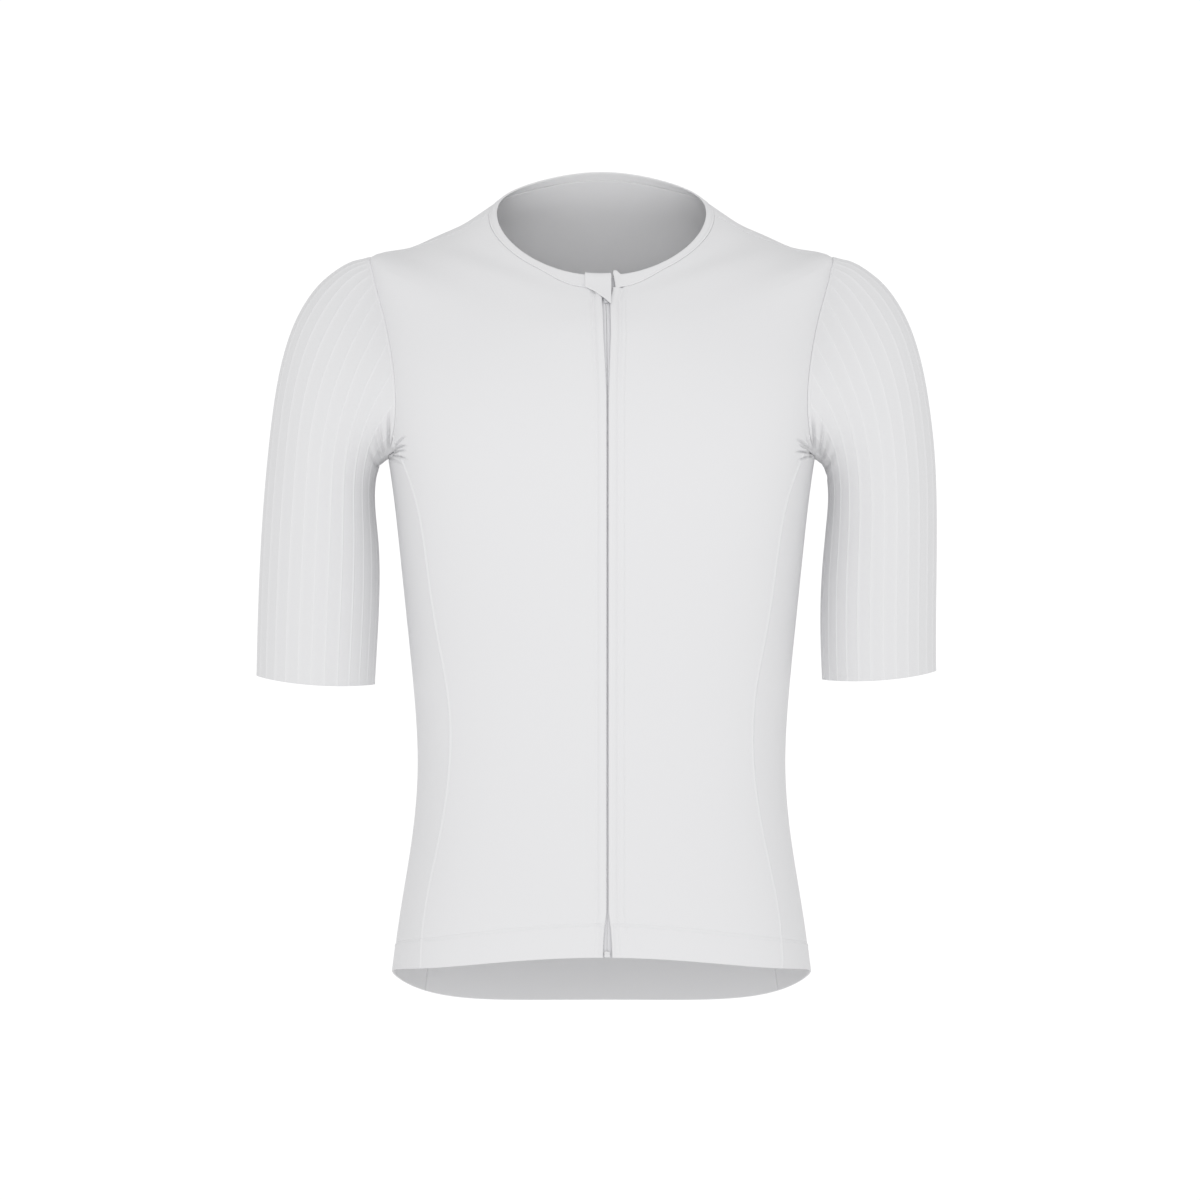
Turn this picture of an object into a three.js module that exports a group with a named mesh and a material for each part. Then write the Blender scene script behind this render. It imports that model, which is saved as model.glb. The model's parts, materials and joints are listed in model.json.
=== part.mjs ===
// A men's race-cut cycling jersey, filled out as if worn, with no wearer inside.
//
// It is cut as a real one is: two fronts that meet at a concealed zip, a side panel under each arm,
// a one-piece back with a pocket panel sewn low on it, two long set-in sleeves in a fine ribbed
// cloth, and a narrow binding round the collarless neck that ends in a small zip garage.
//
// Units are millimetres. +Z is up, -Y is the front and +X is the wearer's left. The origin lies
// midway between the shoulders, at the height where the shoulder seams rest on the wearer.
//
// The torso is one smooth form made of rings from the hem to the neck. A ring is given by its
// heights and reaches at the front, side and back, and each panel is a stretch of that form,
// so that neighbouring panels meet flush. Each sleeve is a second form of rings, which starts
// from the armhole's own outline and ends as the round cuff.
import * as THREE from 'three';

// Cloth
const clothThickness = 1.2;
const seamGap = 0.3;
const layerGap = 0.3;

// Zip and placket
const zipOffset = 5.5;
const placketWidth = 6.5;
const placketLift = 0.7;
const tapeHalfWidth = 12;
const tapeThickness = 0.8;

// Slider, pull and stop, as lengths below the neck edge, half widths and lifts over the form
const slider = { top: 17.5, bottom: 28.5, halfWidth: 2.7, low: -1.2, high: 0.8 };
const pull = { top: 15, bottom: 26.5, halfWidth: 2.1, low: 1.1, high: 1.8 };
const stop = { aboveHem: 5.2, fromHem: 0.4, halfWidth: 2.3, low: -1.2, high: 0.9 };

// Garage: the folded flap over the top of the zip
const garageThickness = 1;
const garageInsideLength = 9;
const garageInsideLift = -2.6;

// Neck
const bindingWidth = 7;
const bindingLift = 0.5;
const bindingThickness = 1.7;
const turnUpWidth = 8;
const turnUpHeight = 3;
const turnUpFlat = 0.55;

// Sleeve ribs
const ribCount = 28;
const ribHalfWidth = 1.1;
const ribHeight = 0.5;

// Torso rings from the hem up. Heights are at the side, front and back; halfWidth is at the side;
// frontY and backY are the reaches on the centre line; square fills the corners of the outline;
// frontQuarter and backQuarter raise the ring half way between the side and the front or back.
const torsoRings = tableRows(
  ['sideZ', 'frontZ', 'backZ', 'halfWidth', 'frontY', 'backY', 'square', 'frontQuarter', 'backQuarter'],
  [
    [-612, -589, -647, 173.5, -112, 110, 0.035, -5, -5],
    [-560, -547, -587, 166.5, -109, 111, 0.035, -2, -2],
    [-500, -494, -516, 157, -104, 101, 0.03, 0, 0],
    [-440, -438, -448, 152.2, -101, 90, 0.025, 0, 0],
    [-380, -381, -384, 155, -103, 86, 0.025, 0, 0],
    [-320, -323, -320, 160.8, -110, 91, 0.03, 0, 0],
    [-260, -265, -256, 167, -117, 101, 0.04, 0, 0],
    [-205, -213, -196, 173.5, -120, 109, 0.045, 0, 0],
    [-150, -168, -140, 182, -117, 113, 0.045, 0, 0],
    [-100, -129, -94, 187.5, -109, 112, 0.03, 0, 0],
    [-54, -99, -61, 190.5, -99, 109, 0, 0, 0],
    [-19.1, -81, -41, 190.1, -91, 104, -0.03, -1.5, 1],
    [-13.6, -70, -23, 168, -84, 97, -0.035, 3.5, 6],
    [-6.4, -61, -4, 145, -77.5, 88, -0.035, 7, 7],
    [1.6, -53, 15, 122.5, -71.5, 78, -0.03, 5, 4],
    [12, -46, 36, 103, -66.5, 66, -0.015, 2, -1],
    [19, -39, 59, 86.8, -62, 56, 0, 0, -2.5],
  ],
);
const neckRing = torsoRings.length - 1;
const shoulderRing = 11;
const underarmRing = 7.33;

// The armhole, as reaches from the side line in degrees round the torso. The front's is skewed, so
// that it reaches furthest below its middle.
const armholeFrontReach = 27;
const armholeFrontSkew = 0.5;
const armholeBackReach = 30;
const armholeMeanRadius = 72;
// Ribs between the shoulder and the place where the side panel's seams meet the armhole.
const ribsToSideSeam = 11;

// Where the side panel's seams run, in degrees from the centre front, at torso rings.
const sideSeams = [
  { ring: 0, front: 54, back: 124 },
  { ring: 1, front: 55.7, back: 125 },
  { ring: 2, front: 54, back: 126 },
  { ring: 3, front: 51.8, back: 127 },
  { ring: 4, front: 51, back: 126 },
  { ring: 5, front: 54, back: 124 },
  { ring: 6, front: 54.5, back: 121 },
  { ring: 7, front: 58, back: 116 },
];

// Half the gap between the fronts, over the zip, at torso rings.
const zipGaps = [
  { ring: 0, half: 3.7 },
  { ring: 0.3, half: 3.3 },
  { ring: 0.6, half: 2.4 },
  { ring: 0.86, half: 0.8 },
  { ring: 8.7, half: 0.8 },
  { ring: 10.4, half: 2.8 },
  { ring: 13.8, half: 3.3 },
  { ring: 15, half: 3.9 },
  { ring: 16, half: 3.9 },
];

// Sleeve rings from the armhole to the cuff: the outer and inner points of the ring, its depth
// front to back, how far the front dips, and the share of the armhole's own outline that it keeps.
const sleeveRings = [
  { outerX: 190.1, outerZ: -19.1, innerX: 177.6, innerZ: -187, centreY: 3, halfDepth: 67, dip: 0, hold: 1 },
  { outerX: 207, outerZ: -21.5, innerX: 181, innerZ: -188.5, centreY: 3, halfDepth: 66.5, dip: 0, hold: 0.84 },
  { outerX: 224, outerZ: -31.5, innerX: 184.5, innerZ: -192.5, centreY: 3, halfDepth: 65.5, dip: 0, hold: 0.64 },
  { outerX: 239, outerZ: -46, innerX: 187, innerZ: -199, centreY: 3, halfDepth: 64, dip: 0, hold: 0.44 },
  { outerX: 254, outerZ: -71, innerX: 188.3, innerZ: -208, centreY: 2.5, halfDepth: 62, dip: 0, hold: 0.26 },
  { outerX: 265, outerZ: -104, innerX: 188.5, innerZ: -221, centreY: 2, halfDepth: 60, dip: 0, hold: 0.12 },
  { outerX: 272, outerZ: -142, innerX: 187, innerZ: -239, centreY: 1, halfDepth: 58, dip: 0, hold: 0.04 },
  { outerX: 277, outerZ: -187, innerX: 184.8, innerZ: -263, centreY: 0, halfDepth: 56.5, dip: 0, hold: 0 },
  { outerX: 280.5, outerZ: -240, innerX: 183.8, innerZ: -293, centreY: -2, halfDepth: 55, dip: 0, hold: 0 },
  { outerX: 282.5, outerZ: -302, innerX: 184.5, innerZ: -330, centreY: -4, halfDepth: 53.5, dip: -1.5, hold: 0 },
  { outerX: 283.5, outerZ: -365, innerX: 186.5, innerZ: -372.5, centreY: -6, halfDepth: 52, dip: -3, hold: 0 },
];

// The garage's lower edge, as its length below the neck edge, and how high its inner face stands
// over the form, at distances x from the middle.
const garageEdges = [
  { x: -13.5, lower: 13.6, lift: 0.9 },
  { x: -6, lower: 17.6, lift: 1.1 },
  { x: 0, lower: 22.6, lift: 1.7 },
  { x: 3, lower: 25, lift: 2.1 },
  { x: 7, lower: 28.8, lift: 2.1 },
  { x: 7.9, lower: 28.2, lift: 1.8 },
];

// How far each cuff hangs from the table's last ring: the wearer's left arm is drawn in a little.
const cuffShifts = {
  left: { outerX: -6.5, innerX: -3.5, z: 3.5 },
  right: { outerX: 2, innerX: 1.5, z: -0.5 },
};
const cuffShiftStart = 6.5;

// A table's rows as objects, from the names of its columns and the rows' values.
function tableRows(names, rows) {
  return rows.map((values) => Object.fromEntries(values.map((value, i) => [names[i], value])));
}

// A smooth curve through a table's rows: at(row key, column) by natural cubic spline.
function tableCurve(rows, key = null) {
  const knots = rows.map((row, i) => (key ? row[key] : i));
  const curves = {};
  for (const name of Object.keys(rows[0])) {
    curves[name] = naturalSpline(knots, rows.map((row) => row[name]));
  }
  return (name, at) => curves[name](at);
}

// The same with straight lines between the rows.
function tableLine(rows, key) {
  return (name, at) => {
    let i = 0;
    while (i < rows.length - 2 && at > rows[i + 1][key]) i++;
    const share = (at - rows[i][key]) / (rows[i + 1][key] - rows[i][key]);
    return lerp(rows[i][name], rows[i + 1][name], THREE.MathUtils.clamp(share, 0, 1));
  };
}

function naturalSpline(knots, values) {
  const count = knots.length;
  const upper = new Array(count).fill(0);
  const solved = new Array(count).fill(0);
  for (let i = 1; i < count - 1; i++) {
    const before = knots[i] - knots[i - 1];
    const after = knots[i + 1] - knots[i];
    const bend = (values[i + 1] - values[i]) / after - (values[i] - values[i - 1]) / before;
    const pivot = 2 * (before + after) - before * upper[i - 1];
    upper[i] = after / pivot;
    solved[i] = (6 * bend - before * solved[i - 1]) / pivot;
  }
  const second = new Array(count).fill(0);
  for (let i = count - 2; i > 0; i--) second[i] = solved[i] - upper[i] * second[i + 1];
  return (at) => {
    let i = 0;
    while (i < count - 2 && at > knots[i + 1]) i++;
    const step = knots[i + 1] - knots[i];
    const b = (at - knots[i]) / step;
    const a = 1 - b;
    const curve = ((a ** 3 - a) * second[i] + (b ** 3 - b) * second[i + 1]) * (step * step) / 6;
    return a * values[i] + b * values[i + 1] + curve;
  };
}

const radians = THREE.MathUtils.degToRad;
const lerp = THREE.MathUtils.lerp;
const smooth = (low, high, at) => THREE.MathUtils.smoothstep(at, low, high);
const range = (count) => Array.from({ length: count + 1 }, (_, i) => i / count);

const torsoAt = tableCurve(torsoRings);
const sleeveAt = tableCurve(sleeveRings);
const zipGapAt = tableLine(zipGaps, 'ring');
const garageAt = tableLine(garageEdges, 'x');

// The torso's outer surface: angle in radians from the centre front towards the wearer's left,
// and ring from 0 at the hem to neckRing.
function torsoPoint(angle, ring) {
  const k = torsoAt('square', ring);
  const frontZ = torsoAt('frontZ', ring);
  const backZ = torsoAt('backZ', ring);
  const sideZ = torsoAt('sideZ', ring);
  const frontY = torsoAt('frontY', ring);
  const backY = torsoAt('backY', ring);
  const middleZ = (frontZ + backZ + 2 * sideZ) / 4;
  const tilt = (backZ - frontZ) / 2;
  const saddle = (frontZ + backZ - 2 * sideZ) / 4;
  const across = (Math.sin(angle) + k * Math.sin(3 * angle)) / (1 - k);
  const forward = (Math.cos(angle) - k * Math.cos(3 * angle)) / (1 - k);
  const quarter = torsoAt(Math.cos(angle) > 0 ? 'frontQuarter' : 'backQuarter', ring);
  const raise = (quarter * (1 - Math.cos(4 * angle))) / 2;
  return new THREE.Vector3(
    torsoAt('halfWidth', ring) * across,
    (frontY + backY) / 2 - ((backY - frontY) / 2) * forward,
    middleZ - tilt * Math.cos(angle) + saddle * Math.cos(2 * angle) + raise,
  );
}

function surfaceNormal(pointAt, a, b) {
  const step = 1e-3;
  const along = pointAt(a + step, b).sub(pointAt(a - step, b));
  const up = pointAt(a, b + step).sub(pointAt(a, b - step));
  return along.cross(up).normalize();
}

// A point over the torso's surface by lift, or under it where lift is negative.
function overTorso(angle, ring, lift) {
  return torsoPoint(angle, ring).addScaledVector(surfaceNormal(torsoPoint, angle, ring), lift);
}

// The angle at the front where the torso is x from the middle.
function frontAngle(x, ring) {
  const k = torsoAt('square', ring);
  return (x * (1 - k)) / (torsoAt('halfWidth', ring) * (1 + 3 * k));
}

// The angle that a length along a ring takes up.
function angleOf(length, angle, ring) {
  const step = 1e-3;
  const speed = torsoPoint(angle + step, ring).distanceTo(torsoPoint(angle - step, ring)) / (2 * step);
  return length / speed;
}

// The ring that lies a length below the neck edge, at an angle.
function ringBelowNeck(angle, length) {
  const step = 0.05;
  const speed = torsoPoint(angle, neckRing).distanceTo(torsoPoint(angle, neckRing - step)) / step;
  return neckRing - length / speed;
}

// The armhole: turn 0 at the shoulder, a quarter turn at the front, a half turn at the underarm.
// inset moves it that length into the hole.
function armhole(turn, inset = 0) {
  const middle = (shoulderRing + underarmRing) / 2;
  const half = (shoulderRing - underarmRing) / 2;
  const frontReach = armholeFrontReach * (1 - armholeFrontSkew * Math.cos(turn));
  const reach = Math.sin(turn) > 0 ? frontReach : armholeBackReach;
  const share = 1 - inset / armholeMeanRadius;
  return {
    angle: Math.PI / 2 - radians(reach) * Math.sin(turn) * share,
    ring: middle + half * Math.cos(turn) * share,
  };
}

const ribTurn = (2 * Math.PI) / ribCount;
const sideSeamTop = armhole(ribsToSideSeam * ribTurn);
const backSeamTop = armhole(-ribsToSideSeam * ribTurn);
const seamAt = tableCurve(
  [
    ...sideSeams,
    {
      ring: sideSeamTop.ring,
      front: THREE.MathUtils.radToDeg(sideSeamTop.angle),
      back: THREE.MathUtils.radToDeg(backSeamTop.angle),
    },
  ],
  'ring',
);

// A sleeve's outer surface, drawn on the wearer's left: turn as on the armhole, ring from 0 at
// the armhole to the cuff.
function sleevePoint(shift, turn, ring) {
  const base = (at) => {
    const shiftShare = smooth(cuffShiftStart, sleeveRings.length - 1, at);
    const share = (1 + Math.cos(turn)) / 2;
    const outerX = sleeveAt('outerX', at) + shift.outerX * shiftShare;
    const innerX = sleeveAt('innerX', at) + shift.innerX * shiftShare;
    const z = lerp(sleeveAt('innerZ', at), sleeveAt('outerZ', at), share) + shift.z * shiftShare;
    return new THREE.Vector3(
      lerp(innerX, outerX, share),
      sleeveAt('centreY', at) - sleeveAt('halfDepth', at) * Math.sin(turn),
      z + sleeveAt('dip', at) * Math.sin(turn) ** 2,
    );
  };
  const hole = armhole(turn, seamGap);
  const own = torsoPoint(hole.angle, hole.ring).sub(base(0));
  const hold = sleeveAt('hold', ring);
  return base(ring).addScaledVector(own, hold);
}

// A point over the sleeve's surface. At the armhole it follows the torso's slope, so that the
// two edges stay parallel, and from ownSlopeRing on its own.
const ownSlopeRing = 0.8;
function overSleeve(shift, turn, ring, lift) {
  const normal = surfaceNormal((a, b) => sleevePoint(shift, a, b), turn, Math.max(ring, 1e-3));
  const hole = armhole(turn, seamGap);
  const torsoNormal = surfaceNormal(torsoPoint, hole.angle, hole.ring);
  const ownShare = smooth(0, ownSlopeRing, ring);
  normal.lerp(torsoNormal, 1 - ownShare).normalize();
  return sleevePoint(shift, turn, ring).addScaledVector(normal, lift);
}

// Collects triangles from grids of points.
class Skin {
  constructor() {
    this.corners = [];
  }
  triangle(a, b, c) {
    for (const p of [a, b, c]) this.corners.push(p.x, p.y, p.z);
  }
  quad(a, b, c, d) {
    this.triangle(a, b, c);
    this.triangle(a, c, d);
  }
  geometry() {
    const made = new THREE.BufferGeometry();
    made.setAttribute('position', new THREE.Float32BufferAttribute(this.corners, 3));
    made.computeVertexNormals();
    return made;
  }
}

// A wall between two grids of the same size. Rows run up and columns run to the wearer's left,
// seen from outside.
function wall(outer, inner) {
  const skin = new Skin();
  const rows = outer.length - 1;
  const columns = outer[0].length - 1;
  for (let r = 0; r < rows; r++) {
    for (let c = 0; c < columns; c++) {
      skin.quad(outer[r][c], outer[r][c + 1], outer[r + 1][c + 1], outer[r + 1][c]);
      skin.quad(inner[r][c], inner[r + 1][c], inner[r + 1][c + 1], inner[r][c + 1]);
    }
  }
  for (let c = 0; c < columns; c++) {
    skin.quad(inner[0][c], inner[0][c + 1], outer[0][c + 1], outer[0][c]);
    skin.quad(outer[rows][c], outer[rows][c + 1], inner[rows][c + 1], inner[rows][c]);
  }
  for (let r = 0; r < rows; r++) {
    skin.quad(inner[r + 1][0], inner[r][0], outer[r][0], outer[r + 1][0]);
    skin.quad(inner[r][columns], inner[r + 1][columns], outer[r + 1][columns], outer[r][columns]);
  }
  return skin.geometry();
}

// A bar through sections of equal size, each a loop of points, closed at both ends.
function bar(sections) {
  const skin = new Skin();
  const size = sections[0].length;
  for (let s = 0; s < sections.length - 1; s++) {
    for (let i = 0; i < size; i++) {
      const j = (i + 1) % size;
      skin.quad(sections[s][i], sections[s][j], sections[s + 1][j], sections[s + 1][i]);
    }
  }
  const last = sections[sections.length - 1];
  for (let i = 1; i < size - 1; i++) {
    skin.triangle(sections[0][0], sections[0][i + 1], sections[0][i]);
    skin.triangle(last[0], last[i], last[i + 1]);
  }
  return skin.geometry();
}

// The same geometry on the wearer's right.
function mirrored(geometry) {
  const made = geometry.clone();
  const points = made.getAttribute('position');
  for (let i = 0; i < points.count; i += 3) {
    const corners = [0, 2, 1].map((n) => [points.getX(i + n), points.getY(i + n), points.getZ(i + n)]);
    corners.forEach(([x, y, z], n) => points.setXYZ(i + n, -x, y, z));
  }
  made.computeVertexNormals();
  return made;
}

// Rows of rings for a panel's edge: even steps up to the side seam's top, then one at each rib
// of the sleeve round the armhole.
const bodyRows = 12;
const shoulderRows = 5;
const lowerRings = range(bodyRows).map((share) => share * sideSeamTop.ring);
const armholeTurns = [];
for (let rib = ribsToSideSeam - 1; rib >= 0; rib--) armholeTurns.push(rib * ribTurn);

// The places, as rows of angles and rings, of a front or back panel from an inner edge to the
// side seam, armhole and shoulder seam. side is 1 for the front and -1 for the back.
// columnAngles gives a row's angles from its ring and its outer edge.
function halfBody(side, columnAngles) {
  const rows = [];
  const addRow = (ring, edge, ringAt = () => ring) => {
    rows.push(columnAngles(ring, edge).map((angle) => ({ angle, ring: ringAt(angle) })));
  };
  for (const ring of lowerRings) {
    const seam = radians(seamAt(side > 0 ? 'front' : 'back', ring));
    addRow(ring, seam - side * angleOf(seamGap / 2, seam, ring));
  }
  for (const turn of armholeTurns) {
    const hole = armhole(side * turn);
    const shoulderSeam = turn === 0 ? angleOf(seamGap / 2, hole.angle, hole.ring) : 0;
    addRow(hole.ring, hole.angle - side * shoulderSeam);
  }
  const seamAtNeck = shoulderSeamAngle(side);
  for (const share of range(shoulderRows).slice(1)) {
    const ringAt = (angle) => lerp(shoulderRing, ringBelowNeck(angle, bindingWidth + seamGap), share);
    addRow(ringAt(0), seamAtNeck, ringAt);
  }
  return rows;
}

// Points over the torso at a grid of places. lift gives the height from the row and column.
function liftGrid(places, lift) {
  return places.map((row, r) => row.map((at, c) => overTorso(at.angle, at.ring, lift(r, c))));
}

function shoulderSeamAngle(side) {
  return Math.PI / 2 - side * angleOf(seamGap / 2, Math.PI / 2, neckRing);
}

// The fronts: the first columns carry the raised placket along the zip.
const frontColumns = 9;
const placketShares = [0, 0.5, 1];
const zipEdge = (direction, ring) => frontAngle(zipGapAt('half', ring) + direction * zipOffset, ring);

// The angles of a front's columns, from its zip edge to an outer edge.
function frontColumnAngles(direction, ring, outerAngle) {
  const start = zipEdge(direction, ring);
  const placket = placketShares.map((share) => start + frontAngle(placketWidth * share, ring));
  const foot = start + frontAngle(placketWidth + placketLift, ring);
  const rest = range(frontColumns).map((share) => lerp(foot, outerAngle, share));
  return [...placket, ...rest];
}

function frontPanel(direction) {
  const lift = (row, column) => (column < placketShares.length ? placketLift : 0);
  const places = halfBody(1, (ring, outerAngle) => frontColumnAngles(direction, ring, outerAngle));
  return wall(liftGrid(places, lift), liftGrid(places, () => -clothThickness));
}

// The back, in one piece from one side seam to the other.
const backColumns = 9;
const backColumnAngles = (ring, outerAngle) => (
  range(backColumns).map((share) => lerp(Math.PI, outerAngle, share))
);
const backPlaces = halfBody(-1, backColumnAngles).map((row) => {
  const left = [...row].reverse();
  const right = row.slice(1).map(({ angle, ring }) => ({ angle: 2 * Math.PI - angle, ring }));
  return [...left, ...right];
});

function backPanel() {
  return wall(liftGrid(backPlaces, () => 0), liftGrid(backPlaces, () => -clothThickness));
}

// The panel under each arm, from the hem to the foot of the armhole. From sideTopStart up, its
// columns bend to the armhole's stations.
const sideTopStart = 0.55;
function sidePanel() {
  const turns = [];
  for (let rib = ribsToSideSeam; rib <= ribCount - ribsToSideSeam; rib++) turns.push(rib * ribTurn);
  const grid = (level) => range(bodyRows).map((share) => turns.map((turn, c) => {
    const top = armhole(turn);
    const ring = share * top.ring;
    const across = c / (turns.length - 1);
    const front = radians(seamAt('front', share * sideSeamTop.ring));
    const back = radians(seamAt('back', share * backSeamTop.ring));
    const gap = angleOf(seamGap / 2, front, ring);
    const plain = lerp(front + gap, back - gap, across);
    const atTop = lerp(top.angle, plain, c === 0 || c === turns.length - 1 ? 1 : 0);
    return overTorso(lerp(plain, atTop, smooth(sideTopStart, 1, share)), ring, level);
  }));
  return wall(grid(0), grid(-clothThickness));
}

// A rib's turn at a sleeve ring. It leaves the armhole higher than its place round the sleeve, and
// drifts down to that place along the upper arm.
const ribDrift = 2.65 * ribTurn;
const ribDriftSkew = 0.22;
const ribDriftFrom = -0.4;
const ribDriftTo = 4.2;
function driftedTurn(turn, ring) {
  const drift = ribDrift * Math.sin(turn) * (1 - ribDriftSkew * Math.cos(turn));
  return turn - drift * (1 - smooth(ribDriftFrom, ribDriftTo, ring));
}

// Fills the band between two closed loops of points, each with its turn. Seen from outside, the
// turns run to the left and the first loop is the lower one.
function fillBand(skin, first, second) {
  const at = (loop, n) => loop[n % loop.length];
  const turnAt = (loop, n) => at(loop, n).turn + 2 * Math.PI * Math.floor(n / loop.length);
  let i = 0;
  let j = 0;
  while (i < first.length || j < second.length) {
    const secondDone = j >= second.length;
    const stepFirst = i < first.length && (secondDone || turnAt(first, i + 1) <= turnAt(second, j + 1));
    if (stepFirst) {
      skin.triangle(at(first, i).point, at(first, i + 1).point, at(second, j).point);
      i++;
    } else {
      skin.triangle(at(first, i).point, at(second, j + 1).point, at(second, j).point);
      j++;
    }
  }
}

// A sleeve: ribs raised on the outside of a plain wall. The wall alone meets the armhole, with a
// station at each rib turn, as the panels have.
const ribbedRings = [0.15, 0.5, 1, 1.5, 2, 2.5, 3, 3.5, 4, 5, 6, 7, 8, 9, 10];
const ribTurns = Array.from({ length: ribCount }, (_, rib) => rib * ribTurn);
function sleeve(shift) {
  const skin = new Skin();
  const at = (turn, ring) => sleevePoint(shift, turn, ring);
  const plainLoop = (ring, lift) => ribTurns.map((turn) => ({ turn, point: overSleeve(shift, turn, ring, lift) }));
  const ribbedLoop = (ring) => ribTurns.flatMap((ribPlace) => {
    const turn = driftedTurn(ribPlace, ring);
    const step = 1e-3;
    const speed = at(turn + step, ring).distanceTo(at(turn - step, ring)) / (2 * step);
    const foot = ribHalfWidth / speed;
    return [[turn - foot, 0], [turn, ribHeight], [turn + foot, 0]]
      .map(([place, lift]) => ({ turn: place, point: overSleeve(shift, place, ring, lift) }));
  });
  const fillRings = (lower, upper) => {
    for (let i = 0; i < lower.length; i++) {
      const j = (i + 1) % lower.length;
      skin.quad(lower[i].point, lower[j].point, upper[j].point, upper[i].point);
    }
  };
  const rings = [0, ...ribbedRings];
  const outerLoops = ribbedRings.map(ribbedLoop);
  const innerLoops = rings.map((ring) => plainLoop(ring, -clothThickness));
  const armholeLoop = plainLoop(0, 0);
  fillBand(skin, armholeLoop, outerLoops[0]);
  for (let r = 0; r < outerLoops.length - 1; r++) fillRings(outerLoops[r], outerLoops[r + 1]);
  for (let r = 0; r < innerLoops.length - 1; r++) fillRings(innerLoops[r + 1], innerLoops[r]);
  fillRings(innerLoops[0], armholeLoop);
  fillBand(skin, outerLoops[outerLoops.length - 1], innerLoops[innerLoops.length - 1]);
  return skin.geometry();
}

// The neck binding, folded over the neck edge from one side of the zip to the other. Its stations
// are the panels' own columns, so that the seam between them keeps its gap.
function bindingAngles() {
  const half = (direction) => {
    const panelTop = ringBelowNeck(0, bindingWidth + seamGap);
    const front = frontColumnAngles(direction, panelTop, shoulderSeamAngle(1));
    const back = backColumnAngles(neckRing, shoulderSeamAngle(-1)).reverse();
    return [...front.slice(0, -1), Math.PI / 2, ...back.slice(1)];
  };
  const right = half(-1).map((angle) => 2 * Math.PI - angle).reverse();
  return [...half(1), ...right.slice(1)];
}

function neckBinding() {
  const start = zipEdge(1, neckRing);
  const section = (angle) => {
    const fromEnd = (angle - start) / angleOf(1, start, neckRing);
    const rise = turnUpHeight * (1 - smooth(turnUpWidth * turnUpFlat, turnUpWidth, fromEnd));
    const profile = [
      { below: 1, lift: -bindingThickness + bindingLift },
      { below: -rise, lift: -0.4 },
      { below: 1 - rise, lift: bindingLift },
      { below: bindingWidth - 1, lift: bindingLift },
      { below: bindingWidth, lift: 0 },
      { below: bindingWidth, lift: -bindingThickness + bindingLift },
    ];
    return profile.map(({ below, lift }) => overTorso(angle, ringBelowNeck(angle, below), lift));
  };
  return bar(bindingAngles().map(section));
}

// A tape of the zip, under the edge of one front. direction is 1 for the wearer's left.
const tapeStations = 24;
function zipTape(direction) {
  const top = neckRing - 0.25;
  const sections = range(tapeStations).map((share) => {
    const ring = share * top;
    const at = (x, lift) => overTorso(frontAngle(zipOffset + direction * x, ring), ring, lift);
    const outerLift = -clothThickness - layerGap;
    const innerLift = outerLift - tapeThickness;
    const loop = [
      at(seamGap / 2, outerLift),
      at(seamGap / 2, innerLift),
      at(tapeHalfWidth, innerLift),
      at(tapeHalfWidth, outerLift),
    ];
    return direction > 0 ? loop.reverse() : loop;
  });
  return bar(sections);
}

// A point over the front, at x from the middle and a length below the neck edge.
function frontPoint(x, below, lift) {
  const ring = ringBelowNeck(frontAngle(x, neckRing), below);
  return overTorso(frontAngle(x, ring), ring, lift);
}

// A hard piece of the zip: a block with its corners cut off, along lengths below the neck edge.
const cornerDepth = 0.25;
const faceWidth = 0.7;
function zipBlock(shape, outline) {
  const { halfWidth, low, high } = shape;
  const edge = (high - low) * cornerDepth;
  return bar(outline.map(({ below, share }) => {
    const reach = halfWidth * share;
    const corners = [
      { x: -reach, lift: low },
      { x: reach, lift: low },
      { x: reach, lift: high - edge },
      { x: reach * faceWidth, lift: high },
      { x: -reach * faceWidth, lift: high },
      { x: -reach, lift: high - edge },
    ];
    return corners.map(({ x, lift }) => frontPoint(zipOffset + x, below, lift));
  }));
}

function zipSlider() {
  const length = slider.bottom - slider.top;
  return zipBlock(slider, [
    { below: slider.top, share: 0.55 },
    { below: slider.top + length * 0.2, share: 0.95 },
    { below: slider.top + length * 0.55, share: 1 },
    { below: slider.top + length * 0.85, share: 0.75 },
    { below: slider.bottom, share: 0.6 },
  ]);
}

function zipPull() {
  const length = pull.bottom - pull.top;
  return zipBlock(pull, [
    { below: pull.top, share: 0.7 },
    { below: pull.top + length * 0.15, share: 1 },
    { below: pull.top + length * 0.6, share: 0.9 },
    { below: pull.bottom, share: 0.7 },
  ]);
}

// The stop at the foot of the zip, where the two tapes end.
function zipStop() {
  const at = (x, up, lift) => {
    const ring = up / torsoPoint(0, 0.5).distanceTo(torsoPoint(0, 0)) / 2;
    return overTorso(frontAngle(zipOffset + x, ring), ring, lift);
  };
  const section = (up) => [
    at(-stop.halfWidth, up, stop.low),
    at(stop.halfWidth, up, stop.low),
    at(stop.halfWidth, up, stop.high),
    at(-stop.halfWidth, up, stop.high),
  ];
  return bar([section(stop.aboveHem), section(stop.fromHem)]);
}

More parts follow.
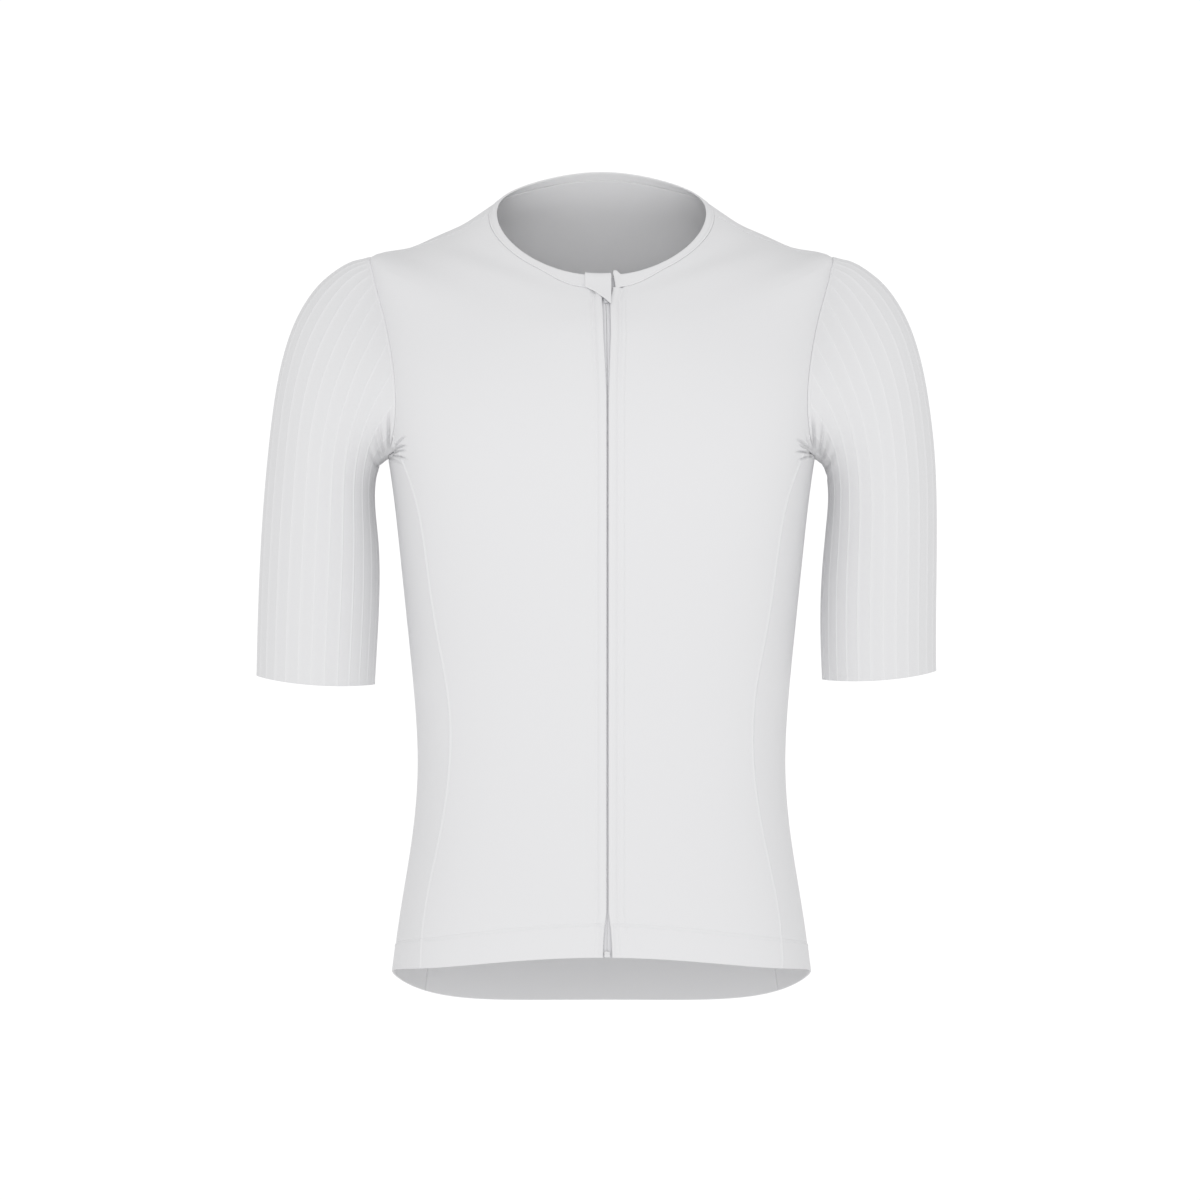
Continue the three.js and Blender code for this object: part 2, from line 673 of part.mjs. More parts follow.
// The garage: a flap that covers the slider, folds over the neck edge and ends inside.
const garageStations = 12;
function zipGarage() {
  const first = garageEdges[0].x;
  const last = garageEdges[garageEdges.length - 1].x;
  const stations = range(garageStations).map((share) => lerp(first, last, share));
  const back = garageInsideLift;
  const inner = (front, lower) => [
    { below: lower, lift: front },
    { below: lower * 0.5, lift: front },
    { below: 1.2, lift: front },
    { below: -1.2, lift: 0.2 },
    { below: -0.9, lift: -1.4 },
    { below: 1.5, lift: back },
    { below: garageInsideLength, lift: back },
  ];
  const outer = (front, lower) => [
    { below: lower, lift: front + garageThickness },
    { below: lower * 0.5, lift: front + garageThickness },
    { below: 0.8, lift: front + garageThickness },
    { below: -2.2, lift: 0.5 },
    { below: -1.7, lift: -1.9 },
    { below: 1, lift: back - garageThickness },
    { below: garageInsideLength, lift: back - garageThickness },
  ];
  const grid = (path) => {
    const columns = stations.map((x) => path(garageAt('lift', x), garageAt('lower', x)));
    const pointAt = (x, { below, lift }) => frontPoint(x, below, lift);
    return columns[0].map((_, row) => stations.map((x, c) => pointAt(x, columns[c][row])));
  };
  return wall(grid(outer), grid(inner));
}

// The pocket panel: three pockets side by side, sewn low on the back and open at the top, where
// each stands a little off the back. It is made from the back's own places, moved out.
const pocketFirstRow = 1;
const pocketLastRow = 5;
const pocketCount = 3;
const pocketGape = 2.4;
function pocketPanel() {
  const places = backPlaces.slice(pocketFirstRow, pocketLastRow + 1);
  const gape = (row, column) => {
    const up = row / (places.length - 1);
    const across = (pocketCount * column) / (places[0].length - 1);
    return pocketGape * up * Math.abs(Math.sin(Math.PI * across));
  };
  const inner = (row, column) => layerGap + gape(row, column);
  return wall(liftGrid(places, (r, c) => inner(r, c) + clothThickness), liftGrid(places, inner));
}

const clothWhite = { color: 0xe9e9ea, roughness: 0.85, metalness: 0 };
const ribbedWhite = { color: 0xececed, roughness: 0.9, metalness: 0 };
const tapeGrey = { color: 0xd4d4d5, roughness: 0.8, metalness: 0 };
const hardGrey = { color: 0xc9c9cb, roughness: 0.45, metalness: 0.1 };

const jersey = new THREE.Group();

function addPiece(name, geometry, finish) {
  const mesh = new THREE.Mesh(geometry, new THREE.MeshStandardMaterial(finish));
  mesh.name = name;
  jersey.add(mesh);
}

addPiece('front_left', frontPanel(1), clothWhite);
addPiece('front_right', mirrored(frontPanel(-1)), clothWhite);
addPiece('side_panel_left', sidePanel(), clothWhite);
addPiece('side_panel_right', mirrored(sidePanel()), clothWhite);
addPiece('back', backPanel(), clothWhite);
addPiece('sleeve_left', sleeve(cuffShifts.left), ribbedWhite);
addPiece('sleeve_right', mirrored(sleeve(cuffShifts.right)), ribbedWhite);
addPiece('neck_binding', neckBinding(), clothWhite);
addPiece('zip_tape_left', zipTape(1), tapeGrey);
addPiece('zip_tape_right', zipTape(-1), tapeGrey);
addPiece('zip_slider', zipSlider(), hardGrey);
addPiece('zip_pull', zipPull(), hardGrey);
addPiece('zip_stop', zipStop(), hardGrey);
addPiece('zip_garage', zipGarage(), clothWhite);
addPiece('pocket_panel', pocketPanel(), clothWhite);

export default jersey;
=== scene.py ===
import json
import math

import bpy
import numpy as np
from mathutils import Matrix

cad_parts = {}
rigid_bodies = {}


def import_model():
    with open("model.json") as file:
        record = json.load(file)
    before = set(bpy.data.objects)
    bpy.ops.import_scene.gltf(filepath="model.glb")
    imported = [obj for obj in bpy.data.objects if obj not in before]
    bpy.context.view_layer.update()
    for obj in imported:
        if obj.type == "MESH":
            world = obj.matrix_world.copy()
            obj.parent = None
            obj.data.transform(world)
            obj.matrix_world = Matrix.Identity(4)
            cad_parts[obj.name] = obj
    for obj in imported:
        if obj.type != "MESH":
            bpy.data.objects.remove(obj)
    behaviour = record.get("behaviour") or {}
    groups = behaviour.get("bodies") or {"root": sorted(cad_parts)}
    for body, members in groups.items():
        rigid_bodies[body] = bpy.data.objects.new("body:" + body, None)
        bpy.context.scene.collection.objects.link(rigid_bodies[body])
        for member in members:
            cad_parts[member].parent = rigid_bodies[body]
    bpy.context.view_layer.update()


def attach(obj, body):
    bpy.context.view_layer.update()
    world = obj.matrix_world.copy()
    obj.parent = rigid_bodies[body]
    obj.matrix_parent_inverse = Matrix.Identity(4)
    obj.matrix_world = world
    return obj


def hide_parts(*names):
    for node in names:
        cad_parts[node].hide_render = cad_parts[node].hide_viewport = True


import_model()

METRES = 0.001
MIRROR = np.array([-1, 1, 1])

# Cloth
CLOTH = 1.2
SEAM_GAP = 0.3
LAYER_GAP = 0.3
SEAM_WELT_WIDTH = 1.6
SEAM_WELT_LIFT = 0.3
# Share of painted highlight on a seam's raised welt.
SEAM_PAINTED_HIGHLIGHT = 0.45

# Hem
HEM_DEPTH = 25
HEM_SIDE_DEPTH = 22.5
HEM_FRONT_DEPTH = 27
HEM_LIFT = 0.3
HEM_STITCH = 23.4

# Zip and its welts
SLIDER_X = 3.9
ZIP_LAP = 0.25
WELT_WIDTH = 6.5
WELT_LIFT = 0.7
WELT_FOOT_WIDTH = 2.4
WELT_CROWN = 0.32
DITCH_DEPTHS = (0.5, 1.2)
DITCH_WIDTHS = (1.2, 2.0)
DITCH_HEIGHTS = (-150, -85)
FOOT_TROUGH = 0.95
FOOT_TROUGH_X = 5
ZIP_IMPRINT = {"left": 12.6, "right": 15.4}
TOOTH_PITCH = 1.1

# Neck. The binding is wider beside the zip.
BINDING_WIDTH = 7
BINDING_GROWTH = 6
BINDING_GROWTH_ANGLES = (0.17, 0.58)
TURN_UP_WIDTH = 6.6
TURN_UP_HEIGHT = 4.9

# Sleeve ribs. A rib leaves the armhole some ribs higher than its place round the sleeve, and
# drifts down to that place along the upper arm.
RIB_COUNT = 28
RIB_HALF_WIDTH = 0.62
RIB_HEIGHT = 0.3
RIB_DRIFT = 2.65
RIB_DRIFT_SKEW = 0.22
RIB_DRIFT_END = 5.2
RIB_DRIFT_BEND = 1.8

# Torso rings from the hem up: heights at the side, front and back; the half width; the reaches at
# the front and back; how square the outline is; and how far a ring rises between side and front
# or back.
TORSO_COLUMNS = "side_z front_z back_z half_width front_y back_y square front_quarter back_quarter"
TORSO_RINGS = [
    (-612, -589, -647, 173.5, -112, 110, 0.035, -5, -5),
    (-560, -547, -587, 166.5, -109, 111, 0.035, -2, -2),
    (-500, -494, -516, 157.0, -104, 101, 0.03, 0, 0),
    (-440, -438, -448, 152.2, -101, 90, 0.025, 0, 0),
    (-380, -381, -384, 155.0, -103, 86, 0.025, 0, 0),
    (-320, -323, -320, 160.8, -110, 91, 0.03, 0, 0),
    (-260, -265, -256, 167.0, -117, 101, 0.04, 0, 0),
    (-205, -213, -196, 173.5, -120, 109, 0.045, 0, 0),
    (-150, -168, -140, 182.0, -117, 113, 0.045, 0, 0),
    (-100, -129, -94, 187.5, -109, 112, 0.03, 0, 0),
    (-54, -99, -61, 190.5, -99, 109, 0, 0, 0),
    (-19.1, -81, -41, 190.1, -91, 104, -0.03, -1.5, 1),
    (-13.6, -70, -23, 168.0, -84, 97, -0.035, 3.5, 6),
    (-6.4, -61, -4, 145.0, -77.5, 88, -0.035, 7, 7),
    (1.6, -53, 15, 122.5, -71.5, 78, -0.03, 5, 4),
    (12, -46, 36, 103.0, -66.5, 66, -0.015, 2, -1),
    (19, -39, 59, 86.8, -62, 56, 0, 0, -2.5),
]
NECK_RING = len(TORSO_RINGS) - 1
SHOULDER_RING = 11
UNDERARM_RING = 7.33

# The armhole's reaches from the side line, in degrees round the torso. The front's is furthest
# below its middle.
ARMHOLE_FRONT_REACH = 27
ARMHOLE_FRONT_SKEW = 0.5
ARMHOLE_BACK_REACH = 30
ARMHOLE_MEAN_RADIUS = 72
RIBS_TO_SIDE_SEAM = 11

# Where the side panel's seams run, in degrees from the centre front.
SEAM_COLUMNS = "ring front back"
SIDE_SEAMS = [
    (0, 54, 124),
    (1, 55.7, 125),
    (2, 54, 126),
    (3, 51.8, 127),
    (4, 51, 126),
    (5, 54, 124),
    (6, 54.5, 121),
    (7, 58, 116),
]

# The zip's middle, as torso ring and distance from the centre front. It leans a little below the neck.
ZIP_MIDDLES = [
    (0, 4.5),
    (8.7, 4.6),
    (10.4, 4.3),
    (12, 3.8),
    (13.1, 3.4),
    (13.9, 4.9),
    (15, 5.5),
    (16, 5.5),
]

# Half the gap between the fronts, over the zip: torso ring, half width.
ZIP_GAPS = [
    (0, 3.7),
    (0.3, 3.3),
    (0.6, 2.4),
    (0.86, 0.8),
    (8.7, 0.8),
    (10.4, 2.8),
    (13.8, 3.3),
    (15, 3.9),
    (16, 3.9),
]

# Sleeve rings from the armhole to the cuff: the outer and inner points, the depth from front to
# back, how far the front dips, and the share of the armhole's outline that a ring keeps.
SLEEVE_COLUMNS = "outer_x outer_z inner_x inner_z centre_y half_depth dip hold"
SLEEVE_RINGS = [
    (190.1, -19.1, 177.6, -187, 3, 67, 0, 1),
    (207, -21.5, 181, -188.5, 3, 66.5, 0, 0.84),
    (224, -31.5, 184.5, -192.5, 3, 65.5, 0, 0.64),
    (239, -46, 187, -199, 3, 64, 0, 0.44),
    (254, -71, 188.3, -208, 2.5, 62, 0, 0.26),
    (265, -104, 188.5, -221, 2, 60, 0, 0.12),
    (272, -142, 187, -239, 1, 58, 0, 0.04),
    (277, -187, 184.8, -263, 0, 56.5, 0, 0),
    (280.5, -240, 183.8, -293, -2, 55, 0, 0),
    (282.5, -302, 184.5, -330, -4, 53.5, -1.5, 0),
    (283.5, -365, 186.5, -372.5, -6, 52, -3, 0),
]
CUFF_RING = len(SLEEVE_RINGS) - 1
CUFF_SHIFT_START = 6.5
CUFF_SHIFT_COLUMNS = "outer_x inner_x z"
CUFF_SHIFTS = {"left": (-6.5, -3.5, 3.5), "right": (2, 1.5, -0.5)}

# The garage's lower edge, as its length below the neck edge, and the height of its inner face
# over the form, at distances x from the middle.
GARAGE_EDGES = [
    (-13.5, 13.6, 0.9),
    (-6, 17.6, 1.1),
    (0, 22.6, 1.7),
    (3, 25.0, 2.1),
    (7, 28.8, 2.1),
    (7.9, 28.2, 1.8),
]

# Creases that run to the underarm, as seen from the front or the back: from the faint end by a
# middle point to the underarm, x outwards from the middle; the trough's half width and depth.
FRONT_CREASES = {
    "right": [
        (172.4, -143.5, 173.6, -164.0, 173.4, -183.0, 1.05, 4.6),
        (168.7, -167.5, 169.2, -175.5, 170.8, -183.0, 0.75, 1.9),
        (157.2, -169.7, 164.6, -174.2, 173.0, -183.0, 0.85, 3.6),
        (156.6, -179.2, 164.0, -178.6, 173.2, -184.0, 0.8, 3.9),
        (157.0, -183.4, 163.6, -181.9, 173.4, -184.6, 0.75, 3.1),
        (155.8, -190.2, 163.8, -186.9, 173.6, -185.4, 0.85, 3.2),
        (159.8, -196.0, 167.0, -190.6, 174.8, -187.0, 1.0, 1.8),
        (179.4, -153.0, 180.2, -166.0, 178.2, -182.0, 1.0, 1.9),
        (184.6, -158.0, 184.2, -171.0, 181.0, -184.6, 1.3, 1.7),
        (191.0, -171.0, 188.6, -182.0, 183.6, -194.0, 1.5, 1.6),
    ],
    "left": [
        (171.6, -146.0, 173.0, -166.0, 173.6, -183.4, 1.05, 4.4),
        (165.6, -164.4, 168.8, -174.6, 173.2, -183.0, 0.8, 2.9),
        (156.0, -172.6, 163.8, -175.6, 173.0, -183.0, 0.8, 3.2),
        (158.0, -177.6, 164.8, -178.9, 173.2, -183.8, 0.75, 2.8),
        (154.8, -184.6, 163.0, -182.8, 173.4, -184.6, 0.8, 3.6),
        (157.2, -191.6, 164.6, -187.9, 173.6, -185.6, 0.85, 2.6),
        (178.2, -150.0, 179.8, -165.0, 178.0, -182.6, 1.1, 2.2),
        (186.0, -161.0, 184.8, -173.0, 181.2, -186.0, 1.3, 1.8),
        (192.6, -174.0, 189.2, -184.6, 184.2, -196.0, 1.5, 1.4),
    ],
}
BACK_CREASES = {
    "right": [
        (170.6, -145.0, 173.0, -165.0, 173.8, -183.6, 1.05, 4.0),
        (155.2, -168.6, 164.6, -174.8, 173.6, -183.4, 0.9, 3.0),
        (150.4, -178.4, 162.6, -180.6, 173.8, -184.8, 0.95, 3.2),
        (153.2, -190.8, 163.4, -187.4, 174.2, -186.0, 0.9, 2.5),
        (179.6, -151.0, 180.4, -167.0, 178.6, -184.0, 1.3, 2.2),
        (189.8, -167.0, 187.0, -181.0, 182.0, -193.0, 1.5, 1.6),
    ],
    "left": [
        (169.8, -149.0, 172.6, -167.0, 174.0, -184.0, 1.05, 3.7),
        (156.8, -171.0, 165.6, -176.4, 173.8, -183.8, 0.85, 2.5),
        (152.0, -181.8, 163.0, -182.2, 174.0, -185.2, 0.95, 3.4),
        (177.8, -147.0, 179.8, -166.0, 178.8, -184.4, 1.3, 2.0),
        (188.0, -163.0, 186.4, -178.0, 182.2, -192.0, 1.5, 1.7),
        (195.0, -179.0, 190.6, -191.0, 185.6, -203.0, 1.7, 1.2),
    ],
}

# Pockets on the back
POCKET_BOTTOM_RING = 0.66
POCKET_TOP_RING = 3.29
POCKET_COUNT = 3
POCKET_GAPE = 2.4
POCKET_BAND = 14

# The armhole seam lies smooth over the shoulder's tip: how far the cloth is raised there.
SHOULDER_CAP = 2.4
CAP_X, CAP_Z = 190.5, -21
CAP_WIDTH = 5.5

# Steps from a cloth's edge that draw its roll, and finer columns beside them.
ROLL_STEPS = np.array([0, 0.06, 0.2, 0.42, 0.75])


# Numbers
def unit(vectors):
    return vectors / np.linalg.norm(vectors, axis=-1, keepdims=True)


def smooth_step(low, high, at):
    share = np.clip((at - low) / (high - low), 0, 1)
    return share * share * (3 - 2 * share)


def lerp(a, b, share):
    return a + (b - a) * share


def bump(distance, width):
    """1 on a line and fading to 0 at some widths from it."""
    return np.exp(-((distance / width) ** 2))


class Curves:
    """The columns of a table as natural cubic splines over the row number, or over the column key."""

    def __init__(self, columns, rows, key=None):
        self.values = dict(zip(columns.split(), np.array(rows, float).T))
        self.knots = self.values[key] if key else np.arange(len(rows), dtype=float)
        self.bends = {name: self.second_slopes(column) for name, column in self.values.items()}

    def second_slopes(self, column):
        steps = np.diff(self.knots)
        slopes = np.diff(column) / steps
        matrix = np.eye(len(column))
        right = np.zeros(len(column))
        for i in range(1, len(column) - 1):
            matrix[i, i - 1 : i + 2] = steps[i - 1], 2 * (steps[i - 1] + steps[i]), steps[i]
            right[i] = 6 * (slopes[i] - slopes[i - 1])
        return np.linalg.solve(matrix, right)

    def __call__(self, name, at):
        at = np.asarray(at, float)
        i = np.clip(np.searchsorted(self.knots, at, side="right") - 1, 0, len(self.knots) - 2)
        step = self.knots[i + 1] - self.knots[i]
        b = (at - self.knots[i]) / step
        a = 1 - b
        value, bend = self.values[name], self.bends[name]
        curve = ((a**3 - a) * bend[i] + (b**3 - b) * bend[i + 1]) * step**2 / 6
        return a * value[i] + b * value[i + 1] + curve


def to_line(points, line):
    """Each point's distance from a line of points, and how far along the line it is nearest, as a share."""
    start, step = line[:-1], np.diff(line, axis=0)
    squared = np.maximum((step**2).sum(-1), 1e-12)
    distance = np.empty(points.shape[:-1])
    share = np.empty(points.shape[:-1])
    for index in np.ndindex(points.shape[:-2]):
        offset = points[index][:, None, :] - start
        along = np.clip((offset * step).sum(-1) / squared, 0, 1)
        gaps = np.linalg.norm(offset - along[..., None] * step, axis=-1)
        nearest = gaps.argmin(-1)
        rows = np.arange(len(nearest))
        distance[index] = gaps[rows, nearest]
        share[index] = (nearest + along[rows, nearest]) / len(step)
    return distance, share


def lengths_along(points):
    """The length along each column of a grid of points, from its first row."""
    steps = np.linalg.norm(np.diff(points, axis=0), axis=-1)
    return np.concatenate([np.zeros((1,) + steps.shape[1:]), np.cumsum(steps, axis=0)])


def along_line(at, length, *lines):
    """The places of lines of points at lengths along them, side by side."""
    return np.stack([np.interp(at, length, line[:, n]) for line in lines for n in range(3)], axis=-1)


# Forms
torso = Curves(TORSO_COLUMNS, TORSO_RINGS)
sleeve_rings = Curves(SLEEVE_COLUMNS, SLEEVE_RINGS)


def torso_point(angle, ring):
    """The torso's outer surface: angle from the centre front towards the wearer's left, in radians."""
    k = torso("square", ring)
    front_z, back_z, side_z = torso("front_z", ring), torso("back_z", ring), torso("side_z", ring)
    front_y, back_y = torso("front_y", ring), torso("back_y", ring)
    across = (np.sin(angle) + k * np.sin(3 * angle)) / (1 - k)
    forward = (np.cos(angle) - k * np.cos(3 * angle)) / (1 - k)
    quarter = np.where(np.cos(angle) > 0, torso("front_quarter", ring), torso("back_quarter", ring))
    middle = (front_z + back_z + 2 * side_z) / 4
    tilt = (back_z - front_z) / 2
    saddle = (front_z + back_z - 2 * side_z) / 4
    x = torso("half_width", ring) * across
    y = (front_y + back_y) / 2 - (back_y - front_y) / 2 * forward
    z = middle - tilt * np.cos(angle) + saddle * np.cos(2 * angle)
    return np.stack([x, y, z + quarter * (1 - np.cos(4 * angle)) / 2], axis=-1)


def normals_of(surface, a, b):
    step = 1e-3
    along = surface(a + step, b) - surface(a - step, b)
    up = surface(a, b + step) - surface(a, b - step)
    return unit(np.cross(along, up))


def over_torso(angle, ring, lift):
    """A point over the torso's surface by lift, or under it where lift is negative."""
    angle, ring, lift = np.broadcast_arrays(np.asarray(angle, float), ring, lift)
    return torso_point(angle, ring) + normals_of(torso_point, angle, ring) * lift[..., None]


def front_angle(x, ring):
    """The angle at the front where the torso is x from the middle."""
    k = torso("square", ring)
    return x * (1 - k) / (torso("half_width", ring) * (1 + 3 * k))


def angle_of(length, angle, ring):
    """The angle that a length along a ring takes up."""
    step = 1e-3
    apart = torso_point(angle + step, ring) - torso_point(angle - step, ring)
    return length / (np.linalg.norm(apart, axis=-1) / (2 * step))


def ring_below_neck(angle, length):
    """The ring at a length below the neck edge."""
    step = 0.05
    apart = torso_point(angle, NECK_RING) - torso_point(angle, NECK_RING - step)
    return NECK_RING - length / (np.linalg.norm(apart, axis=-1) / step)


def binding_growth(angle):
    """How much wider than elsewhere the binding is at an angle."""
    from_zip = np.minimum(angle, 2 * math.pi - angle)
    return BINDING_GROWTH * (1 - smooth_step(*BINDING_GROWTH_ANGLES, from_zip))


def ring_above_hem(angle, length):
    """The ring at a length above the hem."""
    step = 0.5
    apart = torso_point(angle, step) - torso_point(angle, 0)
    return length / (np.linalg.norm(apart, axis=-1) / step)


def armhole(turn, inset=0):
    """Angle and ring of the armhole.

    Turn 0 is its top, a quarter turn the front and a half turn the underarm.
    """
    middle = (SHOULDER_RING + UNDERARM_RING) / 2
    half = (SHOULDER_RING - UNDERARM_RING) / 2
    front_reach = ARMHOLE_FRONT_REACH * (1 - ARMHOLE_FRONT_SKEW * np.cos(turn))
    reach = np.radians(np.where(np.sin(turn) > 0, front_reach, ARMHOLE_BACK_REACH))
    share = 1 - inset / ARMHOLE_MEAN_RADIUS
    return math.pi / 2 - reach * np.sin(turn) * share, middle + half * np.cos(turn) * share


RIB_TURN = 2 * math.pi / RIB_COUNT
SEAM_TOP_TURN = RIBS_TO_SIDE_SEAM * RIB_TURN
front_top_angle, SEAM_TOP_RING = (float(v) for v in armhole(SEAM_TOP_TURN))
back_top_angle, back_seam_top_ring = (float(v) for v in armhole(-SEAM_TOP_TURN))
seam_rows = SIDE_SEAMS + [(SEAM_TOP_RING, math.degrees(front_top_angle), math.degrees(back_top_angle))]
side_seams = Curves(SEAM_COLUMNS, seam_rows, "ring")


def seam_angle(face, ring):
    """The angle of the side panel's seam on the front or the back."""
    return np.radians(side_seams(face, ring))


def zip_gap(ring):
    rings, halves = zip(*ZIP_GAPS)
    return np.interp(ring, rings, halves)


def zip_middle(ring):
    rings, places = zip(*ZIP_MIDDLES)
    return np.interp(ring, rings, places)


def sleeve_point(side, turn, ring):
    """A sleeve's outer surface on the wearer's left: turn as on the armhole, ring 0 at the armhole."""
    shift = dict(zip(CUFF_SHIFT_COLUMNS.split(), CUFF_SHIFTS[side]))

    def base(at):
        shifted = smooth_step(CUFF_SHIFT_START, CUFF_RING, at)
        share = (1 + np.cos(turn)) / 2
        outer_x = sleeve_rings("outer_x", at) + shift["outer_x"] * shifted
        inner_x = sleeve_rings("inner_x", at) + shift["inner_x"] * shifted
        z = lerp(sleeve_rings("inner_z", at), sleeve_rings("outer_z", at), share) + shift["z"] * shifted
        x = lerp(inner_x, outer_x, share)
        y = sleeve_rings("centre_y", at) - sleeve_rings("half_depth", at) * np.sin(turn)
        return np.stack(np.broadcast_arrays(x, y, z + sleeve_rings("dip", at) * np.sin(turn) ** 2), axis=-1)

    angle, hole_ring = armhole(turn, SEAM_GAP)
    own = torso_point(angle, hole_ring) - base(np.zeros_like(ring))
    return base(ring) + own * sleeve_rings("hold", ring)[..., None]


def sleeve_normals(side, turn, ring):
    """Normals of a sleeve. At the armhole they follow the torso's, so that the two edges stay parallel."""
    own = normals_of(lambda a, b: sleeve_point(side, a, b), turn, np.maximum(ring, 1e-3))
    at_armhole = normals_of(torso_point, *armhole(turn, SEAM_GAP))
    return unit(lerp(at_armhole, own, smooth_step(0, 0.8, ring)[..., None]))


def drifted_turn(turn, ring):
    """The turn that a rib has reached at a ring of the sleeve."""
    drift = RIB_DRIFT * RIB_TURN * np.sin(turn) * (1 - RIB_DRIFT_SKEW * np.cos(turn))
    return turn - drift * np.clip(1 - ring / RIB_DRIFT_END, 0, 1) ** RIB_DRIFT_BEND


# Creases
def crease_path(row):
    """A crease as a line of points, on a curve through its three places."""
    start, middle, end = np.array(row[:6], float).reshape(3, 2)
    handle = 2 * middle - (start + end) / 2
    share = np.linspace(0, 1, 13)[:, None]
    return (1 - share) ** 2 * start + 2 * share * (1 - share) * handle + share**2 * end


def crease_lift(points, side):
    """How far the creases and the shoulder's cap move points of a half, which lies on the left.

    The right half is mirrored. Where creases meet, the deepest counts, so that they don't add up.
    """
    flat = points.reshape(-1, 3)
    deepest = np.zeros(len(flat))
    highest = np.zeros(len(flat))
    for table, facing in ((FRONT_CREASES, -1), (BACK_CREASES, 1)):
        on_face = smooth_step(-9, 2, facing * (flat[:, 1] - 3))
        for row in table[side]:
            width, depth = row[6:]
            path = crease_path(row)
            low, high = path.min(0) - 4 * width, path.max(0) + 4 * width
            seen = flat[:, [0, 2]]
            near = np.flatnonzero(((seen > low) & (seen < high)).all(-1) & (on_face > 0))
            if len(near) == 0:
                continue
            distance, share = to_line(seen[near], path)
            across = (distance / width) ** 2
            trough = (1 - 0.4 * across) * np.exp(-across / 1.6)
            taper = smooth_step(0, 0.6, share)
            move = -depth * trough * taper * on_face[near]
            deepest[near] = np.minimum(deepest[near], move)
            highest[near] = np.maximum(highest[near], move)
    cap = SHOULDER_CAP * bump(np.hypot(flat[:, 0] - CAP_X, flat[:, 2] - CAP_Z), CAP_WIDTH)
    return (deepest + highest + cap).reshape(points.shape[:-1])


# Cloth grids
class Cloth:
    """A grid of places on a form, with the lengths that its details are placed by.

    Rows run up and columns run to the wearer's left, seen from outside. across and up are the
    cloth's own lengths, for its weave.
    """

    def __init__(self, points, normals):
        self.points = points
        self.normals = normals
        self.up = lengths_along(points)
        self.across = lengths_along(points.swapaxes(0, 1)).T
        self.edge = np.full(points.shape[:-1], np.inf)
        self.sewn = np.zeros(points.shape[:-1])
        # Share of painted highlight: a lighter colour on raised welts, ribs and the tape's ridge.
        self.mark = np.zeros(points.shape[:-1])

    def to_edge(self, line, sewn=0):
        """The distance of each place from an edge line, which also rolls the cloth there."""
        distance, _ = to_line(self.points, line)
        self.sewn = np.where(distance < self.edge, sewn, self.sewn)
        self.edge = np.minimum(self.edge, distance)
        return distance

    def mirrored(self):
        other = Cloth.__new__(Cloth)
        other.points, other.normals = self.points[:, ::-1] * MIRROR, self.normals[:, ::-1] * MIRROR
        for name in ("up", "across", "edge", "sewn", "mark"):
            setattr(other, name, getattr(self, name)[:, ::-1])
        return other


def roll(edge, radius, fall):
    """How far a rounded edge falls in from its face, at a distance from the edge."""
    share = 1 - np.minimum(edge / radius, 1)
    return fall * (1 - np.sqrt(1 - share**2))


def faces_of(cloth, outer_lift, inner_lift):
    """The outer and inner points of a cloth, with its edges rounded. A sewn edge turns in late."""
    radius = np.maximum((outer_lift - inner_lift) / 2, 0.05)
    outer_fall = radius * (1 - 0.65 * cloth.sewn)
    outer_radius = radius * (1 - 0.5 * cloth.sewn)
    fall = roll(cloth.edge, outer_radius, outer_fall)
    rise = roll(cloth.edge, radius, 2 * radius - outer_fall)
    outer = cloth.points + cloth.normals * (outer_lift - fall)[..., None]
    inner = cloth.points + cloth.normals * (inner_lift + rise)[..., None]
    return outer, inner


# Meshes
def grid_quads(index):
    """Quads over a grid of vertex numbers, turned outwards."""
    corners = [index[:-1, :-1], index[:-1, 1:], index[1:, 1:], index[1:, :-1]]
    return np.stack(corners, axis=-1).reshape(-1, 4)


def wrapped(index):
    """A grid of vertex numbers whose last column meets its first."""
    return np.concatenate([index, index[:, :1]], axis=1)


def new_object(name, points, faces, cloth_at=None):
    """A mesh object in metres, from tables of faces, one for each number of corners.

    cloth_at gives each vertex its place on the cloth and its share of painted highlight.
    """
    mesh = bpy.data.meshes.new(name)
    sizes = np.concatenate([np.full(len(table), table.shape[1]) for table in faces])
    corners = np.concatenate([table.ravel() for table in faces])
    starts = np.concatenate([[0], np.cumsum(sizes)[:-1]])
    mesh.vertices.add(len(points))
    mesh.vertices.foreach_set("co", (points * METRES).ravel())
    mesh.loops.add(len(corners))
    mesh.loops.foreach_set("vertex_index", corners.astype(np.int32))
    mesh.polygons.add(len(sizes))
    mesh.polygons.foreach_set("loop_start", starts.astype(np.int32))
    mesh.polygons.foreach_set("loop_total", sizes.astype(np.int32))
    mesh.polygons.foreach_set("use_smooth", np.ones(len(sizes), bool))
    if cloth_at is not None:
        held = mesh.attributes.new("cloth", "FLOAT_VECTOR", "POINT")
        held.data.foreach_set("vector", cloth_at.ravel())
    mesh.update(calc_edges=True)
    mesh.validate()
    made = bpy.data.objects.new(name, mesh)
    bpy.context.scene.collection.objects.link(made)
    return made


def closed_cloth(name, cloth, outer, inner, tube_rows=None):
    """A closed cloth from its outer and inner faces, which share their edge points.

    With tube_rows, the columns meet in a tube, and only those rows are kept inside.
    """
    index = np.arange(outer[..., 0].size).reshape(outer.shape[:2])
    inside = np.zeros(index.shape, bool)
    if tube_rows:
        inside[tube_rows[1:-1]] = True
    else:
        inside[1:-1, 1:-1] = True
    within = index.copy()
    within[inside] = index.size + np.arange(inside.sum())
    if tube_rows:
        index, within = wrapped(index), wrapped(within)[tube_rows]
    faces = np.concatenate([grid_quads(index), grid_quads(within)[:, ::-1]])
    points = np.concatenate([outer.reshape(-1, 3), inner[inside]])
    place = np.stack([cloth.across, cloth.up, cloth.mark], axis=-1)
    places = np.concatenate([place.reshape(-1, 3), place[inside] * (1, 1, 0)])
    return new_object(name, points, [faces], places)


